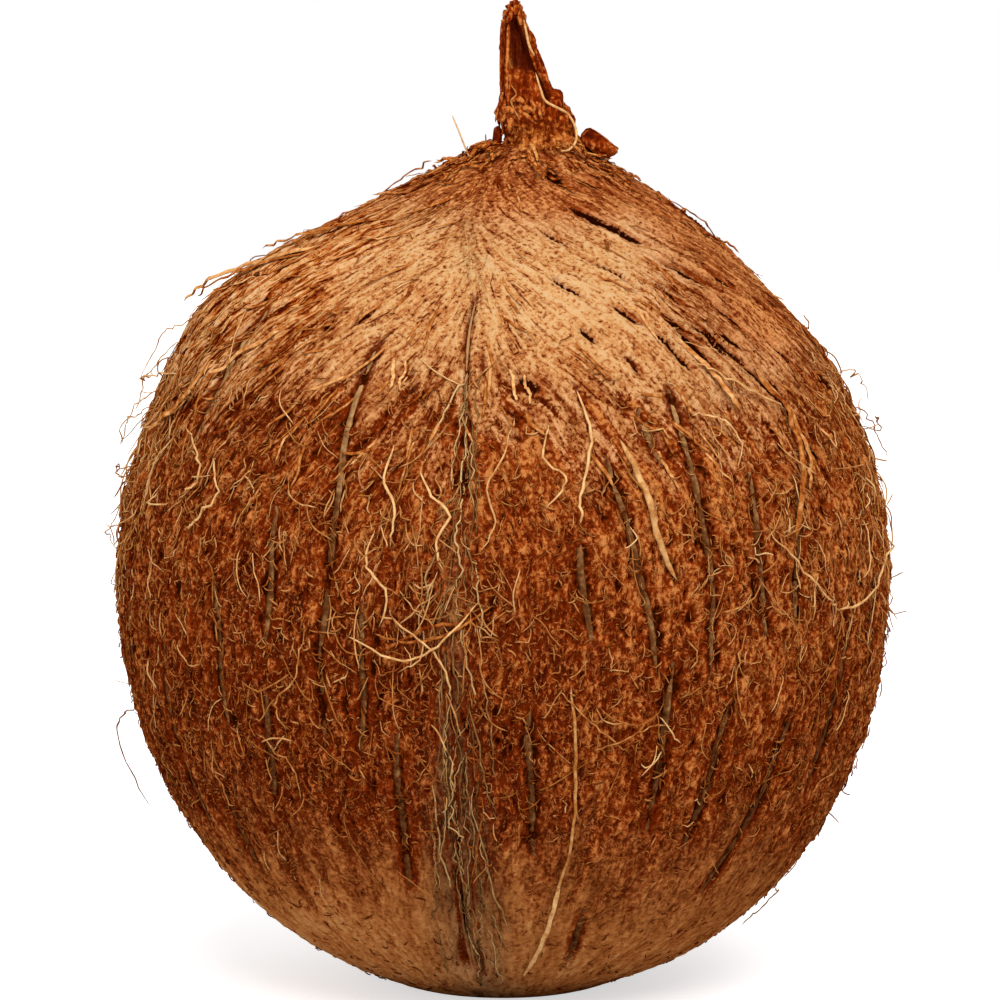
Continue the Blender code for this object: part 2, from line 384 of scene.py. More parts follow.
def coat(azimuth, along):
    """How far the coat stands off the nut, and what it is like there.

    Each zone has its own relief. Skin: torn layers, which lie like shingles: layers counts
    them across the fibres, and each one rises towards the front and ends in a sharp drop.
    Crumbled pith: folded noise, which gives rounded crumbs and sharp gaps, with deep pits.
    Worn base: fine grain. Veins and cracks cut furrows, and seams stand up as ropy ribs.

    hollow is how deep a place lies in a gap: the material paints it dark, as painted shade.
    tone is how light it is: its own colour, and partly painted light by height, by side and
    near the seams. raised is how far its crumbs stand up: the material paints their tops
    lighter by it, as a painted highlight. Most of the skin is bleached, but it stays orange at
    the top and over the right shoulder.
    """
    height = height_at(along)
    radius = radius_at(along)
    place = on_nut(azimuth, along, np.zeros(np.shape(azimuth)))
    wander = 1.6 * noise(place, 13.0, 31) + 0.5 * noise(place, 4.0, 32)
    straight = azimuth - sway(height)
    turned = straight + wander / np.maximum(radius, 8)
    fibre, closeness = fanned(turned, along)

    def drawn_out(across, length, seed):
        return grain(fibre, closeness, along, across, length, seed)

    broad = noise(place, 21.0, 1)
    ragged = height + 6 * broad + 4 * noise(place, 6.0, 2)
    ragged = ragged + 13 * drawn_out(2.2, 14.0, 3)
    skin = smooth_step(82, 98, ragged)
    worn = smooth_step(38, 12, ragged)
    crumbled = (1 - skin) * (1 - worn)

    small = noise(place, 1.2, 11)
    from_front = np.abs(fibre - SEAM_AZIMUTHS[0])
    layers = 1.5 * drawn_out(4.2, 30.0, 4) + LAYERS_PER_RADIAN * from_front
    layers = layers + 0.5 * drawn_out(1.9, 12.0, 19) + 0.2 * noise(place, 2.0, 18)
    rise = layers - np.floor(layers)
    shingles = rise - smooth_step(0.84, 1.0, rise)
    turn = fan_turn(straight)[0]
    sideways = np.sin(azimuth)
    layered = noise(place, 17.0, 20) + 0.9 * (turn - 0.75) - 0.3 * sideways
    layered = 0.1 + 0.9 * smooth_step(-0.35, 0.45, layered)
    layered = layered * smooth_step(0.08, 0.5, turn)
    dashes = smooth_step(0.22, 0.5, drawn_out(1.2, 3.6, 9))
    crumbs = np.abs(drawn_out(1.5, 2.2, 10)) - 0.3
    small_crumbs = np.abs(small) - 0.3
    pits = smooth_step(0.4, 0.62, drawn_out(1.6, 3.4, 12))
    lumps = noise(place, 4.5, 13)
    fine = drawn_out(0.9, 5.0, 14)
    rows = bell(drawn_out(2.6, 26.0, 15), 0.12) * (1 - skin)
    beside_vein, past_vein = beside(VEINS, azimuth, along, 3.0, 0.2 * small)
    veins = (1 - past_vein) * bell(beside_vein, 1.9)
    beside_crack, past_crack = beside(CRACKS, turned, along, 1.6, 0.25 * small + 0.3 * fine)
    cracks = (1 - past_crack) * bell(beside_crack, 2.0)
    past_crack = np.maximum(past_crack, smooth_step(2.2, 3.4, np.abs(beside_crack)))

    skin_relief = 0.85 * shingles * layered + 0.15 * fine
    skin_relief = skin_relief - 0.2 * dashes + 0.3 * small_crumbs + 0.12 * lumps + 0.1
    pith_relief = 0.6 * crumbs + 0.5 * small_crumbs - 0.5 * pits + 0.35 * lumps + 0.4 * fine
    worn_relief = 0.15 * fine + 0.15 * crumbs + 0.2 * small_crumbs - 0.1 * dashes
    relief = skin * skin_relief + crumbled * pith_relief + worn * (1 - skin) * worn_relief
    relief = relief - 0.45 * rows * (1 - 0.7 * worn) - 0.8 * cracks

    across_seam = from_seam(straight) * radius
    rib = bell(across_seam, SEAM_HALF_WIDTH) * smooth_step(1, 8, height)
    rib = rib * (0.15 + 0.85 * smooth_step(100, 76, height))
    upright = narrowing(along)
    ropes = grain(straight, upright, along, 6.0, 20.0, 16)
    ropy = np.abs(np.sin(across_seam * 2.6 + 1.3 * ropes))
    relief = relief * (1 - 0.6 * rib) + rib * (SEAM_PROUD - 0.6 * (1 - ropy) ** 3)
    relief = relief * (1 - 0.8 * veins) - 0.6 * veins - COAT_SUNK
    relief = relief * smooth_step(FLAT_RADIUS - 1, FLAT_RADIUS + 9, along)

    # Painted shade, which the material paints dark from hollow: short dashes in the skin, a band along
    # its torn edge, the crumbs' pits and gaps, the pith's rows, and round each vein.
    torn_edge = 4 * skin * (1 - skin)
    hollow = skin * 0.3 * dashes
    hollow = hollow + torn_edge * 0.9 * smooth_step(0.15, 0.5, drawn_out(1.1, 2.2, 23))
    hollow = hollow + crumbled * (0.75 * pits + 0.45 * smooth_step(-0.12, -0.3, crumbs))
    hollow = hollow + (1 - skin) * 0.35 * rows * (1 - 0.6 * worn) + 0.85 * veins
    tone = 0.1
    for start, end, amount in TONE_BY_HEIGHT:
        tone = tone + amount * smooth_step(start, end, height)
    tone = tone - 0.14 * skin
    # Painted light: the pith is painted lighter by each seam at mid height, as the front's middle is
    # lit.
    middle = bell(across_seam, 14) * smooth_step(60, 78, height)
    tone = tone + 0.26 * middle * (1 - skin)
    # Painted light: the skin is painted lighter over the upper shoulders, where less light falls on
    # them.
    upper_right = smooth_step(0.05, 0.5, sideways) * smooth_step(103, 112, height)
    upper_left = smooth_step(-0.45, -0.75, sideways) * smooth_step(88, 100, height)
    tone = tone + skin * (0.28 * upper_right + 0.24 * upper_left)
    right = smooth_step(0.4, 0.85, sideways)
    top = smooth_step(115, 124, height + 5 * broad)
    orange = np.maximum(right * smooth_step(92, 104, height), top)
    bleach = smooth_step(84, 106, height + 6 * broad) * (1 - orange) - 0.38 * orange
    tone = tone + 0.42 * skin * orange
    tone = tone - 0.3 * skin * smooth_step(106, 86, height) + 0.17 * skin * right
    # Painted light and shade by side: the crumbled pith is painted lighter on the right and darker on
    # the left, and the worn base darker on the right.
    tone = tone + (0.1 - 0.04 * skin - 0.45 * worn) * sideways
    tone = tone + crumbled * (0.34 * smooth_step(-0.05, 0.3, sideways) - 0.2)
    blotches = 0.2 * broad + 0.12 * lumps + 0.2 * noise(place, 9.0, 21)
    tone = tone + (1 - 0.35 * skin) * (blotches + 0.4 * drawn_out(2.6, 14.0, 22))
    # Painted highlight: the higher a crumb stands, the lighter the material paints it.
    raised = 0.5 + 0.6 * crumbs * (1 - skin) + 0.75 * small_crumbs + 0.4 * fine
    seam_width = 1.7 + 3.3 * smooth_step(62, 15, height)
    seam_grey = bell(across_seam, seam_width) * smooth_step(88, 44, height)
    strands_seen = grain(straight, upright, along, 1.0, 14.0, 17)
    seam_grey = seam_grey * np.clip(0.75 + 0.6 * strands_seen, 0, 1)
    # Painted shade in the gaps between the seam's strands.
    gaps = smooth_step(0.0, 0.3, strands_seen) * bell(across_seam, 0.5 * seam_width)
    hollow = hollow + 0.8 * gaps * smooth_step(70, 45, height) * smooth_step(4, 12, height)
    return dict(
        relief=relief, skin=skin, worn=worn, hollow=np.clip(hollow, 0, 1),
        tone=np.clip(tone, -0.4 * skin, 1), raised=np.clip(raised, 0, 1), grey=seam_grey,
        bleach=bleach, layers=layers, layered=layered * skin,
        rowed=crumbled * smooth_step(-0.25, 0.3, drawn_out(3.0, 9.0, 25)),
        split=beside_crack, past_split=past_crack, fibre=fibre, closeness=closeness,
    )


def paint(colour):
    """An sRGB hex colour as the linear RGBA that Blender's sockets take."""
    parts = np.array([int(colour[at : at + 2], 16) for at in (1, 3, 5)]) / 255
    linear = np.where(parts <= 0.04045, parts / 12.92, ((parts + 0.055) / 1.055) ** 2.4)
    return (*linear, 1.0)


def add_node(tree, kind, inputs, output=0, **settings):
    """Adds a node with its settings, sets or links its inputs, and gives one of its outputs.

    Inputs are given by name, or in a tuple in the node's own order: value, from, to, and what
    those two become, for a MapRange.
    """
    made = tree.nodes.new("ShaderNode" + kind)
    for name, value in settings.items():
        setattr(made, name, value)
    for name, value in inputs.items() if isinstance(inputs, dict) else enumerate(inputs):
        if isinstance(value, bpy.types.NodeSocket):
            tree.links.new(value, made.inputs[name])
        else:
            made.inputs[name].default_value = value
    return made.outputs[output]


def new_material(name):
    """An empty material, and add_node for its own tree."""
    made = bpy.data.materials.new(name)
    made.use_nodes = True
    return made, partial(add_node, made.node_tree)


def paint_stops(ramp, places, colours):
    """Gives a colour ramp its colours: the first and last at its ends, the rest at places."""
    stops = ramp.node.color_ramp.elements
    stops[0].color = paint(colours[0])
    stops[1].color = paint(colours[-1])
    for place, colour in zip(places, colours[1:-1]):
        stops.new(place).color = paint(colour)


def matt_surface(made, colour, height, depth, strength, roughness):
    """Joins a colour, and a bump of a depth in millimetres, to a material: dry and matt."""
    tree = made.node_tree
    bump = {"Height": height, "Distance": depth * MM, "Strength": strength}
    shader = tree.nodes["Principled BSDF"]
    tree.links.new(colour, shader.inputs["Base Color"])
    tree.links.new(add_node(tree, "Bump", bump), shader.inputs["Normal"])
    shader.inputs["Roughness"].default_value = roughness
    shader.inputs["Specular IOR Level"].default_value = 0.0


def closed_grid(rows, columns):
    """Faces of a grid that closes round on itself and runs to one point at each end.

    Vertex 0 is the first point, then come rows of columns, and the last vertex is the other.
    Returns the quads and the triangles, then each corner's place in a unit square, across by
    column and up by row.
    """
    row = np.arange(rows - 1)[:, None] * columns + 1
    column = np.arange(columns)
    after = (column + 1) % columns
    quads = np.stack(
        [row + column, row + after, row + columns + after, row + columns + column], axis=-1
    )
    last = rows * columns + 1
    foot = np.stack([np.zeros(columns, int), after + 1, column + 1], axis=-1)
    top_row = last - columns
    top = np.stack([np.full(columns, last), top_row + column, top_row + after], axis=-1)
    faces = [quads.reshape(-1, 4), np.concatenate([foot, top])]

    level = np.arange(1, rows)[:, None] + 0 * column
    sideways = column + 0 * level
    across = np.stack([sideways, sideways + 1, sideways + 1, sideways], axis=-1)
    up = np.stack([level, level, level + 1, level + 1], axis=-1)
    flat_quads = np.stack([across / columns, up / (rows + 1)], axis=-1).reshape(-1, 4, 2)
    end_across = np.stack([column + 0.5, column + 1, column], axis=-1)
    top_across = np.stack([column + 0.5, column, column + 1], axis=-1)
    end_across = np.concatenate([end_across, top_across])
    end_up = np.repeat([[0, 1, 1], [rows + 1, rows, rows]], columns, axis=0)
    flat_ends = np.stack([end_across / columns, end_up / (rows + 1)], axis=-1)
    return faces, [flat_quads, flat_ends]


def mesh_of(name, points, face_sets, flat_sets):
    """A smooth-shaded object from points in millimetres and arrays of faces.

    flat_sets give each corner its place in a unit square, in which colour can be stored.
    """
    mesh = bpy.data.meshes.new(name)
    corners = np.concatenate([faces.ravel() for faces in face_sets]).astype(np.int32)
    sizes = np.concatenate([np.full(len(faces), faces.shape[1]) for faces in face_sets])
    starts = np.concatenate([[0], np.cumsum(sizes)[:-1]]).astype(np.int32)
    mesh.vertices.add(len(points))
    mesh.vertices.foreach_set("co", (points * MM).astype(np.float32).ravel())
    mesh.loops.add(len(corners))
    mesh.loops.foreach_set("vertex_index", corners)
    mesh.polygons.add(len(sizes))
    mesh.polygons.foreach_set("loop_start", starts)
    mesh.update(calc_edges=True)
    flat = mesh.uv_layers.new(name="OFBake")
    places = np.concatenate([part.reshape(-1, 2) for part in flat_sets])
    flat.uv.foreach_set("vector", places.astype(np.float32).ravel())
    made = bpy.data.objects.new(name, mesh)
    bpy.context.scene.collection.objects.link(made)
    return made


def give(piece, name, values, kind="FLOAT"):
    """Gives each vertex of a piece a value, or a vector, that its material reads."""
    made = piece.data.attributes.new(name, kind, "POINT")
    field = "vector" if kind == "FLOAT_VECTOR" else "value"
    made.data.foreach_set(field, np.asarray(values, np.float32).ravel())


def closed(values):
    """A closed grid's values, with those of its two end points, which go by their neighbours."""
    return np.concatenate([values[:1], values, values[-1:]])


def streak_length(height):
    """How long the coat's finest streaks are: longest on the skin and at the worn base."""
    return 1.5 + 3.2 * smooth_step(82, 100, height) + 2.5 * smooth_step(34, 8, height)


def coat_third(name, start, end):
    """One third of the coat, between two seams, closed by walls that meet at the axis.

    way_even and way_odd are along_fibres at the even and the odd level nearest each point, in
    millimetres across and in streaks upwards. odd_share says how much of the odd one to use.
    """
    rows, columns = COAT_GRID[name]
    turn = np.linspace(start, end, columns)
    run = np.linspace(0, MERIDIAN, rows + 2)[1:-1]
    azimuth, along = np.meshgrid(turn, run)
    looks = coat(azimuth, along)
    outer = on_nut(azimuth, along, looks.pop("relief"))
    lean = LEAN * smooth_step(LEAN_FROM, CROWN_HEIGHT, height_at(run))
    axis = np.stack([lean, 0 * run, outer[:, :, 2].mean(axis=1)], axis=-1)
    grid = np.concatenate([outer, axis[:, None]], axis=1)
    ends = on_nut(np.zeros(2), np.array([0, MERIDIAN]), np.zeros(2))
    points = np.concatenate([ends[:1], grid.reshape(-1, 3), ends[1:]])
    piece = mesh_of(name, points, *closed_grid(rows, columns + 1))

    fibre, closeness = looks.pop("fibre"), looks.pop("closeness")
    looks["odd_share"] = 1 - np.abs(np.remainder(closeness, 2) - 1)
    streaks_up = np.cumsum(1 / streak_length(HEIGHT)) * (ALONG[1] - ALONG[0])
    streaks_up = np.interp(along, ALONG, streaks_up)
    looks["way_even"] = along_fibres(fibre, streaks_up, 2 * np.round(closeness / 2))
    looks["way_odd"] = along_fibres(fibre, streaks_up, 2 * np.round((closeness - 1) / 2) + 1)
    for look, values in looks.items():
        kind = "FLOAT_VECTOR" if values.ndim == 3 else "FLOAT"
        values = np.concatenate([values, values[:, -1:]], axis=1)
        give(piece, look, closed(values.reshape(rows * (columns + 1), -1)), kind)

    walls = np.tile(np.arange(columns + 1) >= columns - 1, rows + 1)
    flat_shaded = piece.data.attributes.new("sharp_face", "BOOLEAN", "FACE")
    flat_shaded.data.foreach_set("value", walls)
    return piece


DEEPEST = 0.2  # the share of each of the coat's ramps that only painted shade, in its gaps and hollows, reaches
# The looks that its material reads.
COAT_READS = "skin worn hollow tone raised grey bleach layers layered rowed split past_split odd_share"


def coir_coat():
    """Dry coir and pith: brown fibre and corky crumbs, matt, with painted shade, darker and redder, in
    every gap.

    What is finer than the mesh, crumbs under half a millimetre, hair-thin streaks and the
    cracks between the skin's layers, is drawn in the colour and the bump; the cracks' dark is
    painted shade.
    """
    made, add = new_material("dry_coir_and_pith")
    where = add("TexCoord", {}, "Object")
    look = {name: add("Attribute", {}, "Fac", attribute_name=name) for name in COAT_READS.split()}
    # Streaks 0.65 mm wide, as the coir's finest bundles are. Upwards, the way already counts
    # streaks.
    streaks = []
    for way in ("way_even", "way_odd"):
        vector = add("Attribute", {}, "Vector", attribute_name=way)
        vector = add("VectorMath", (vector, (1 / 0.65, 1 / 0.65, 1.0)), operation="MULTIPLY")
        streak = {"Vector": vector, "Scale": 1.0, "Detail": 2.5, "Roughness": 0.65}
        streaks.append(add("TexNoise", streak))
    streak = add("Mix", {0: look["odd_share"], 2: streaks[0], 3: streaks[1]})
    crumbs = {"Vector": where, "Scale": 1 / (0.6 * MM), "Detail": 3.0, "Roughness": 0.65}
    crumbs = add("TexNoise", crumbs)
    grainy = add("MapRange", (look["layered"], 0.0, 1.0, 0.5, 0.15))
    fine = add("Mix", {0: grainy, 2: streak, 3: crumbs})

    # The skin's layers, and thinner ones within each: how far a place is up its own layer.
    cracks = []
    ledges = fine
    for times, waver, width in ((1.0, 1.3, 0.13), (2.0, 1.8, 0.22)):
        count = add("Math", (fine, waver, 0.0), operation="MULTIPLY_ADD")
        count = add("Math", (look["layers"], times, count), operation="MULTIPLY_ADD")
        up_layer = add("Math", (count,), operation="FRACT")
        cracks.append(add("MapRange", (up_layer, 2 * width, 0.4 * width)))
        up_layer = add("Math", (up_layer, look["layered"]), operation="MULTIPLY")
        ledges = add("Math", (up_layer, 0.35, ledges), operation="MULTIPLY_ADD")

    # The skin ends in a ragged edge: as sharp as the grain is fine, with a shaded pit below it.
    torn = add("Math", (fine, 2.4, -1.2), operation="MULTIPLY_ADD")
    torn = add("Math", (torn, look["skin"]), operation="ADD")
    skin = add("MapRange", (torn, 0.35, 0.6))
    shadow_below_edge = add("MapRange", (torn, 0.0, 0.35))
    shadow_below_edge = add("Math", (shadow_below_edge, skin), operation="SUBTRACT", use_clamp=True)
    contrast = add("MapRange", (look["skin"], 0.0, 1.0, 3.9, 3.5))
    contrast = add("Math", (look["worn"], -1.5, contrast), operation="MULTIPLY_ADD")
    lit = add("Math", (fine, 0.5), operation="SUBTRACT")
    lit = add("Math", (lit, contrast), operation="MULTIPLY")
    # Painted highlight: crumbs that stand up go further up the ramps, lighter.
    lit = add("Math", (look["raised"], 0.7, lit), operation="MULTIPLY_ADD")
    lit = add("Math", (look["tone"], 0.5, lit), operation="MULTIPLY_ADD", use_clamp=True)
    # Painted shade: what lies deeper is painted darker and goes down the ramps, so it turns redder as
    # it darkens: pinholes in the skin, short dashes where its fibres part, the pit below its edge,
    # cracks and hollows.
    lit = add("Math", (lit, 1 - DEEPEST, DEEPEST), operation="MULTIPLY_ADD")
    pinholes = add("MapRange", (crumbs, 0.41, 0.37))
    dashes = add("MapRange", (streak, 0.40, 0.36))
    for darker, share, depth in (
        (0.2, skin, pinholes),
        (0.3, skin, dashes),
        (0.08, 1.0, shadow_below_edge),
        (0.18, look["rowed"], cracks[1]),
        (0.26, look["rowed"], cracks[0]),
        (0.3, look["layered"], cracks[1]),
        (0.5, look["layered"], cracks[0]),
    ):
        depth = add("Math", (depth, share), operation="MULTIPLY")
        lit = add("Math", (depth, -darker, lit), operation="MULTIPLY_ADD")
    tanned = add("MapRange", (look["bleach"], -0.5, 1.0, 0.025))
    tanned = add("Math", (tanned, skin), operation="MULTIPLY")
    colour = paint("#000000")
    for share, tones in (
        # Crumbled pith: red-brown. Worn base: duller. Skin: orange in its gaps, tan on top. Each
        # ramp's dark end is what painted shade reaches.
        (1.0, ("#280701", "#380d02", "#5f1d05", "#944113", "#cc8344")),
        (look["worn"], ("#4a1d08", "#5e280c", "#905124", "#ad6b37", "#c28850")),
        (tanned, ("#360b01", "#6a1b02", "#ae5a1e", "#d59a5f", "#dfb083")),
    ):
        toned = add("ValToRGB", {"Fac": lit})
        paint_stops(toned, [DEEPEST + (1 - DEEPEST) * rise for rise in (0.0, 0.33, 0.67)], tones)
        colour = add("Mix", {0: share, 6: colour, 7: toned}, 2, data_type="RGBA")
    # Where the skin isn't torn in layers, it is bleached to a paler, duller tan.
    bleached = add("Math", (1.0, look["layered"]), operation="SUBTRACT")
    for share in (skin, look["bleach"], lit, 0.5):
        bleached = add("Math", (bleached, share), operation="MULTIPLY")
    colour = add("Mix", {0: bleached, 6: colour, 7: paint("#c09b69")}, 2, data_type="RGBA")
    # Hair-fine curly ends of coir over the crumbled pith: lines where a noise passes its middle,
    # broken where another one is low.
    bare = add("Math", (1.0, look["skin"]), operation="SUBTRACT")
    bare = add("Math", (look["worn"], -0.6, bare), operation="MULTIPLY_ADD", use_clamp=True)
    broken = add("MapRange", (fine, 0.46, 0.58))
    for size, half_line in ((1.5, 0.022), (1.1, 0.026)):
        curly = {"Vector": where, "Scale": 1 / (size * MM), "Detail": 1.0, "Distortion": 0.4}
        shown = add("Math", (add("TexNoise", curly), 0.5, half_line), operation="COMPARE")
        for share in (broken, bare, 0.7):
            shown = add("Math", (shown, share), operation="MULTIPLY")
        colour = add("Mix", {0: shown, 6: colour, 7: paint("#b8703a")}, 2, data_type="RGBA")
    # Seams: smooth grey-brown, paler higher up.
    streaky = add("MapRange", (streak, 0.36, 0.56))
    low_grey, high_grey = (
        add("Mix", {0: streaky, 6: paint(dark), 7: paint(light)}, 2, data_type="RGBA")
        for dark, light in (("#160a03", "#543721"), ("#6e4222", "#b58455"))
    )
    grey = add("Mix", {0: look["tone"], 6: low_grey, 7: high_grey}, 2, data_type="RGBA")
    colour = add("Mix", {0: look["grey"], 6: colour, 7: grey}, 2, data_type="RGBA")
    # Splits in the skin: painted black inside, as painted shade, with a crisp ragged edge towards the
    # front seam, and dark red under-layers bared on the other side, painted darker nearer the split,
    # as its shadow.
    ragged = add("Math", (fine, 7.0, -3.5), operation="MULTIPLY_ADD")
    across = add("Math", (look["split"], ragged), operation="ADD")
    under = add("MapRange", (across, 4.0, 1.0))
    outside = add("MapRange", (across, 0.0, 0.4))
    under = add("Math", (under, outside), operation="MULTIPLY")
    under = add("Math", (under, look["past_split"]), operation="SUBTRACT", use_clamp=True)
    off_line = add("Math", (across,), operation="ABSOLUTE")
    opened = add("Math", (look["past_split"], 3.5, off_line), operation="MULTIPLY_ADD")
    opened = add("MapRange", (opened, 1.5, 1.1))
    for depth, fully, dark in ((under, 0.7, "#8a3309"), (opened, 1.0, "#230700")):
        depth = add("Math", (depth, fully), operation="MULTIPLY")
        colour = add("Mix", {0: depth, 6: colour, 7: paint(dark)}, 2, data_type="RGBA")
    # Painted shade in hollows: redder at their rims, nearly black inside, and as ragged as the grain.
    hollow = add("Math", (fine, -2.0, 1.0), operation="MULTIPLY_ADD")
    hollow = add("Math", (hollow, look["hollow"]), operation="ADD")
    for rim, pit, dark in ((0.15, 0.6, "#6e2204"), (0.5, 0.95, "#1f0700")):
        depth = add("MapRange", (hollow, rim, pit, 0.0, 0.92))
        colour = add("Mix", {0: depth, 6: colour, 7: paint(dark)}, 2, data_type="RGBA")
    matt_surface(made, colour, ledges, depth=0.8, strength=1.0, roughness=1.0)
    return made


coat_material = coir_coat()
thirds = [*SEAM_AZIMUTHS, SEAM_AZIMUTHS[0] + 2 * math.pi]
for name, start, end in zip(COAT_GRID, thirds, thirds[1:]):
    third = coat_third(name, start, end)
    third.data.materials.append(coat_material)
    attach(third, "root")
    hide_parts("coconut")


# ------------------------------------------------------------------ veins
# Smooth flattened cords, over a millimetre wide, that lie sunk in the furrows of the coat: the
# vessel bundles of the husk's inmost layer. They grew in place, grey-brown, and are bleached
# where they run out under the skin.
VEIN_POINTS = 26
VEIN_SIDES = 6
VEIN_HALF_THICKNESS = 0.18
# Painted light across each vein: a pale painted highlight along one top side, and painted shade at
# both edges.
VEIN_SHADING_ACROSS = (-0.15, 0.16, 0.0, -0.18, 0, 0)  # shade added at each side: one streak is pale


def strands(name, centre, outwards, half_width, half_thickness, sides, shade, streak=0):
    """Many closed strands in one mesh, each drawn to a point at both ends.

    A ring's points are centre + across * half_width * cos + up * half_thickness * sin, where
    across is square to the strand and to outwards, and up is square to both. Each strand has
    its own cell of the unit square. A ring's shade is that of its centre, and streak, if
    there is one, adds to each vertex's.
    """
    count, points = centre.shape[:2]
    run = np.gradient(centre, axis=1)
    run /= np.linalg.norm(run, axis=2, keepdims=True) + 1e-9
    across = np.cross(outwards, run)
    across /= np.linalg.norm(across, axis=2, keepdims=True) + 1e-9
    up = np.cross(run, across)
    turn = np.arange(sides) * 2 * math.pi / sides
    half_width = np.broadcast_to(half_width, (count, points))
    half_thickness = np.broadcast_to(half_thickness, (count, points))
    flat = across[:, 1:-1, None] * (half_width[:, 1:-1, None] * np.cos(turn))[..., None]
    tall = up[:, 1:-1, None] * (half_thickness[:, 1:-1, None] * np.sin(turn))[..., None]
    rings = (centre[:, 1:-1, None] + flat + tall).reshape(count, -1, 3)
    vertices = np.concatenate([centre[:, :1], rings, centre[:, -1:]], axis=1)
    vertices[..., 2] = np.maximum(vertices[..., 2], 0)
    first = np.arange(count)[:, None, None]
    faces, places = closed_grid(points - 2, sides)
    faces = [(shape + first * vertices.shape[1]).reshape(-1, shape.shape[1]) for shape in faces]
    cells = math.ceil(math.sqrt(count))
    cell = np.stack([first % cells, first // cells], axis=-1)
    places = [(cell + 0.1 + 0.8 * place) / cells for place in places]
    made = mesh_of(name, vertices.reshape(-1, 3), faces, places)
    inner = np.repeat(shade[:, 1:-1], sides, axis=1)
    give(made, "shade", np.concatenate([shade[:, :1], inner, shade[:, -1:]], axis=1) + streak)
    return made


def tapered(points, blunt):
    """Widths along a strand as shares of its widest: (4 s (1 - s))^(1 / blunt)."""
    share = np.linspace(0, 1, points)
    return (4 * share * (1 - share)) ** (1 / blunt)


def coir_fibre(name, dark, middle, light, roughness, mottled):
    """Coir strands: hard dry tubes, matt with dust, paler where the sun bleached them.

    The shade attribute runs from dark, 0, to light, 1. Fine mottling, as strong as mottled
    says, keeps two strands from looking alike.
    """
    made, add = new_material(name)
    where = add("TexCoord", {}, "Object")
    shade = add("Attribute", {}, "Fac", attribute_name="shade")
    mottle = add("TexNoise", {"Vector": where, "Scale": 1 / (0.9 * MM), "Detail": 2.0})
    shifted = add("Math", (mottle, mottled, -mottled / 2), operation="MULTIPLY_ADD")
    shifted = add("Math", (shifted, shade), operation="ADD")
    colour = add("ValToRGB", {"Fac": shifted})
    paint_stops(colour, [0.45], (dark, middle, light))
    matt_surface(made, colour, mottle, depth=0.12, strength=0.6, roughness=roughness)
    return made


def vein_cords():
    """All the veins, each a flat cord on the floor of its furrow."""
    share = np.linspace(0, 1, VEIN_POINTS)
    top, bottom = VEINS[:, 1:2] + 1.5, VEINS[:, 3:4] - 1.5
    height = top + (bottom - top) * share
    azimuth = np.stack([line_azimuth(vein, row) for vein, row in zip(VEINS, height)])
    along = along_at(height)
    looks = coat(azimuth, along)
    covered = np.random.default_rng(50).normal(0, 0.08, height.shape)
    sunk = -0.02 + covered - 0.5 * (1 - tapered(VEIN_POINTS, 6))
    centre = on_nut(azimuth, along, looks["relief"] + sunk)
    width = VEINS[:, 4:5] * tapered(VEIN_POINTS, 3)
    shade = 0.2 + 0.18 * smooth_step(30, 75, height) + 0.1 * np.sin(9 * share)
    shade = shade + 0.5 * looks["skin"] * smooth_step(0.0, 0.12, share)
    # A painted highlight along each cord's top and painted shade at its edges.
    streak = np.concatenate([[0], np.tile(VEIN_SHADING_ACROSS, VEIN_POINTS - 2), [0]])
    return strands(
        "shell_veins", centre, outward(azimuth, along), width, VEIN_HALF_THICKNESS, VEIN_SIDES,
        shade, streak,
    )


shell_veins = vein_cords()
shell_veins.data.materials.append(
    coir_fibre("smooth_vein_cord", "#301507", "#653c1e", "#ab8152", roughness=0.8, mottled=1.2)
)
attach(shell_veins, "root")


# ------------------------------------------------------------------ strands in the seams
# Where two carpels met, long fine strands of coir run together from the stem end to the base,
# half bedded in the seam's rib and half loose. They are weathered, from brown to straw, and a
# little darker low down.
SEAM_STRANDS = 90
SEAM_POINTS = 16
SEAM_SIDES = 3


def laid(name, path, lift, width, flatness, sides, shade):
    """Strands over the nut, along paths of azimuths and distances, at a lift above it."""
    centre = on_nut(*path, lift)
    return strands(name, centre, outward(*path), width, flatness * width, sides, shade)


def seam_strands():
    """Strands beside each seam: each starts at random along it and wavers about its own line."""
    draw = np.random.default_rng(51)
    count = SEAM_STRANDS * 3
    seam = np.repeat(SEAM_AZIMUTHS, SEAM_STRANDS)[:, None]
    top = 14 + 86 * draw.random((count, 1)) ** 1.4
    share = np.linspace(0, 1, SEAM_POINTS)
    start = along_at(top)
    length = np.minimum(draw.uniform(6, 24, (count, 1)), start - FLAT_RADIUS - 3)
    along = start - length * share
    spread = 1.1 + 0.9 * smooth_step(60, 20, top)
    aside = draw.normal(0, 1.0, (count, 1)) * spread + draw.normal(0, 1.4, (count, 1)) * share
    wave = np.cumsum(draw.normal(0, 0.28, (count, SEAM_POINTS)), axis=1)
    azimuth = seam + sway(height_at(along)) + (aside + wave) / radius_at(along)
    relief = coat(azimuth, along)["relief"]
    loose = draw.random((count, 1)) ** 3
    lift = relief + 0.08 + loose * np.sin(math.pi * share)
    lift = lift - 0.5 * (1 - tapered(SEAM_POINTS, 5))
    width = draw.uniform(0.08, 0.18, (count, 1)) * tapered(SEAM_POINTS, 5)
    shade = draw.uniform(0.1, 0.95, (count, 1)) - 0.1 * smooth_step(80, 40, height_at(along))
    return laid("seam_strands", (azimuth, along), lift, width, 0.8, SEAM_SIDES, shade)


seam_piece = seam_strands()
seam_piece.data.materials.append(
    coir_fibre("weathered_coir", "#3f200d", "#8c6236", "#cfa870", roughness=0.8, mottled=0.8)
)
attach(seam_piece, "root")


# ------------------------------------------------------------------ torn strips of the skin
# Flat splinters of the coat that lie along the crown like shingles, still held at one end:
# the husk's inner fibres, glued side by side. They tore up when the husk was pulled off.
STRIP_COUNT = 420
STRIP_POINTS = 9
STRIP_SIDES = 6
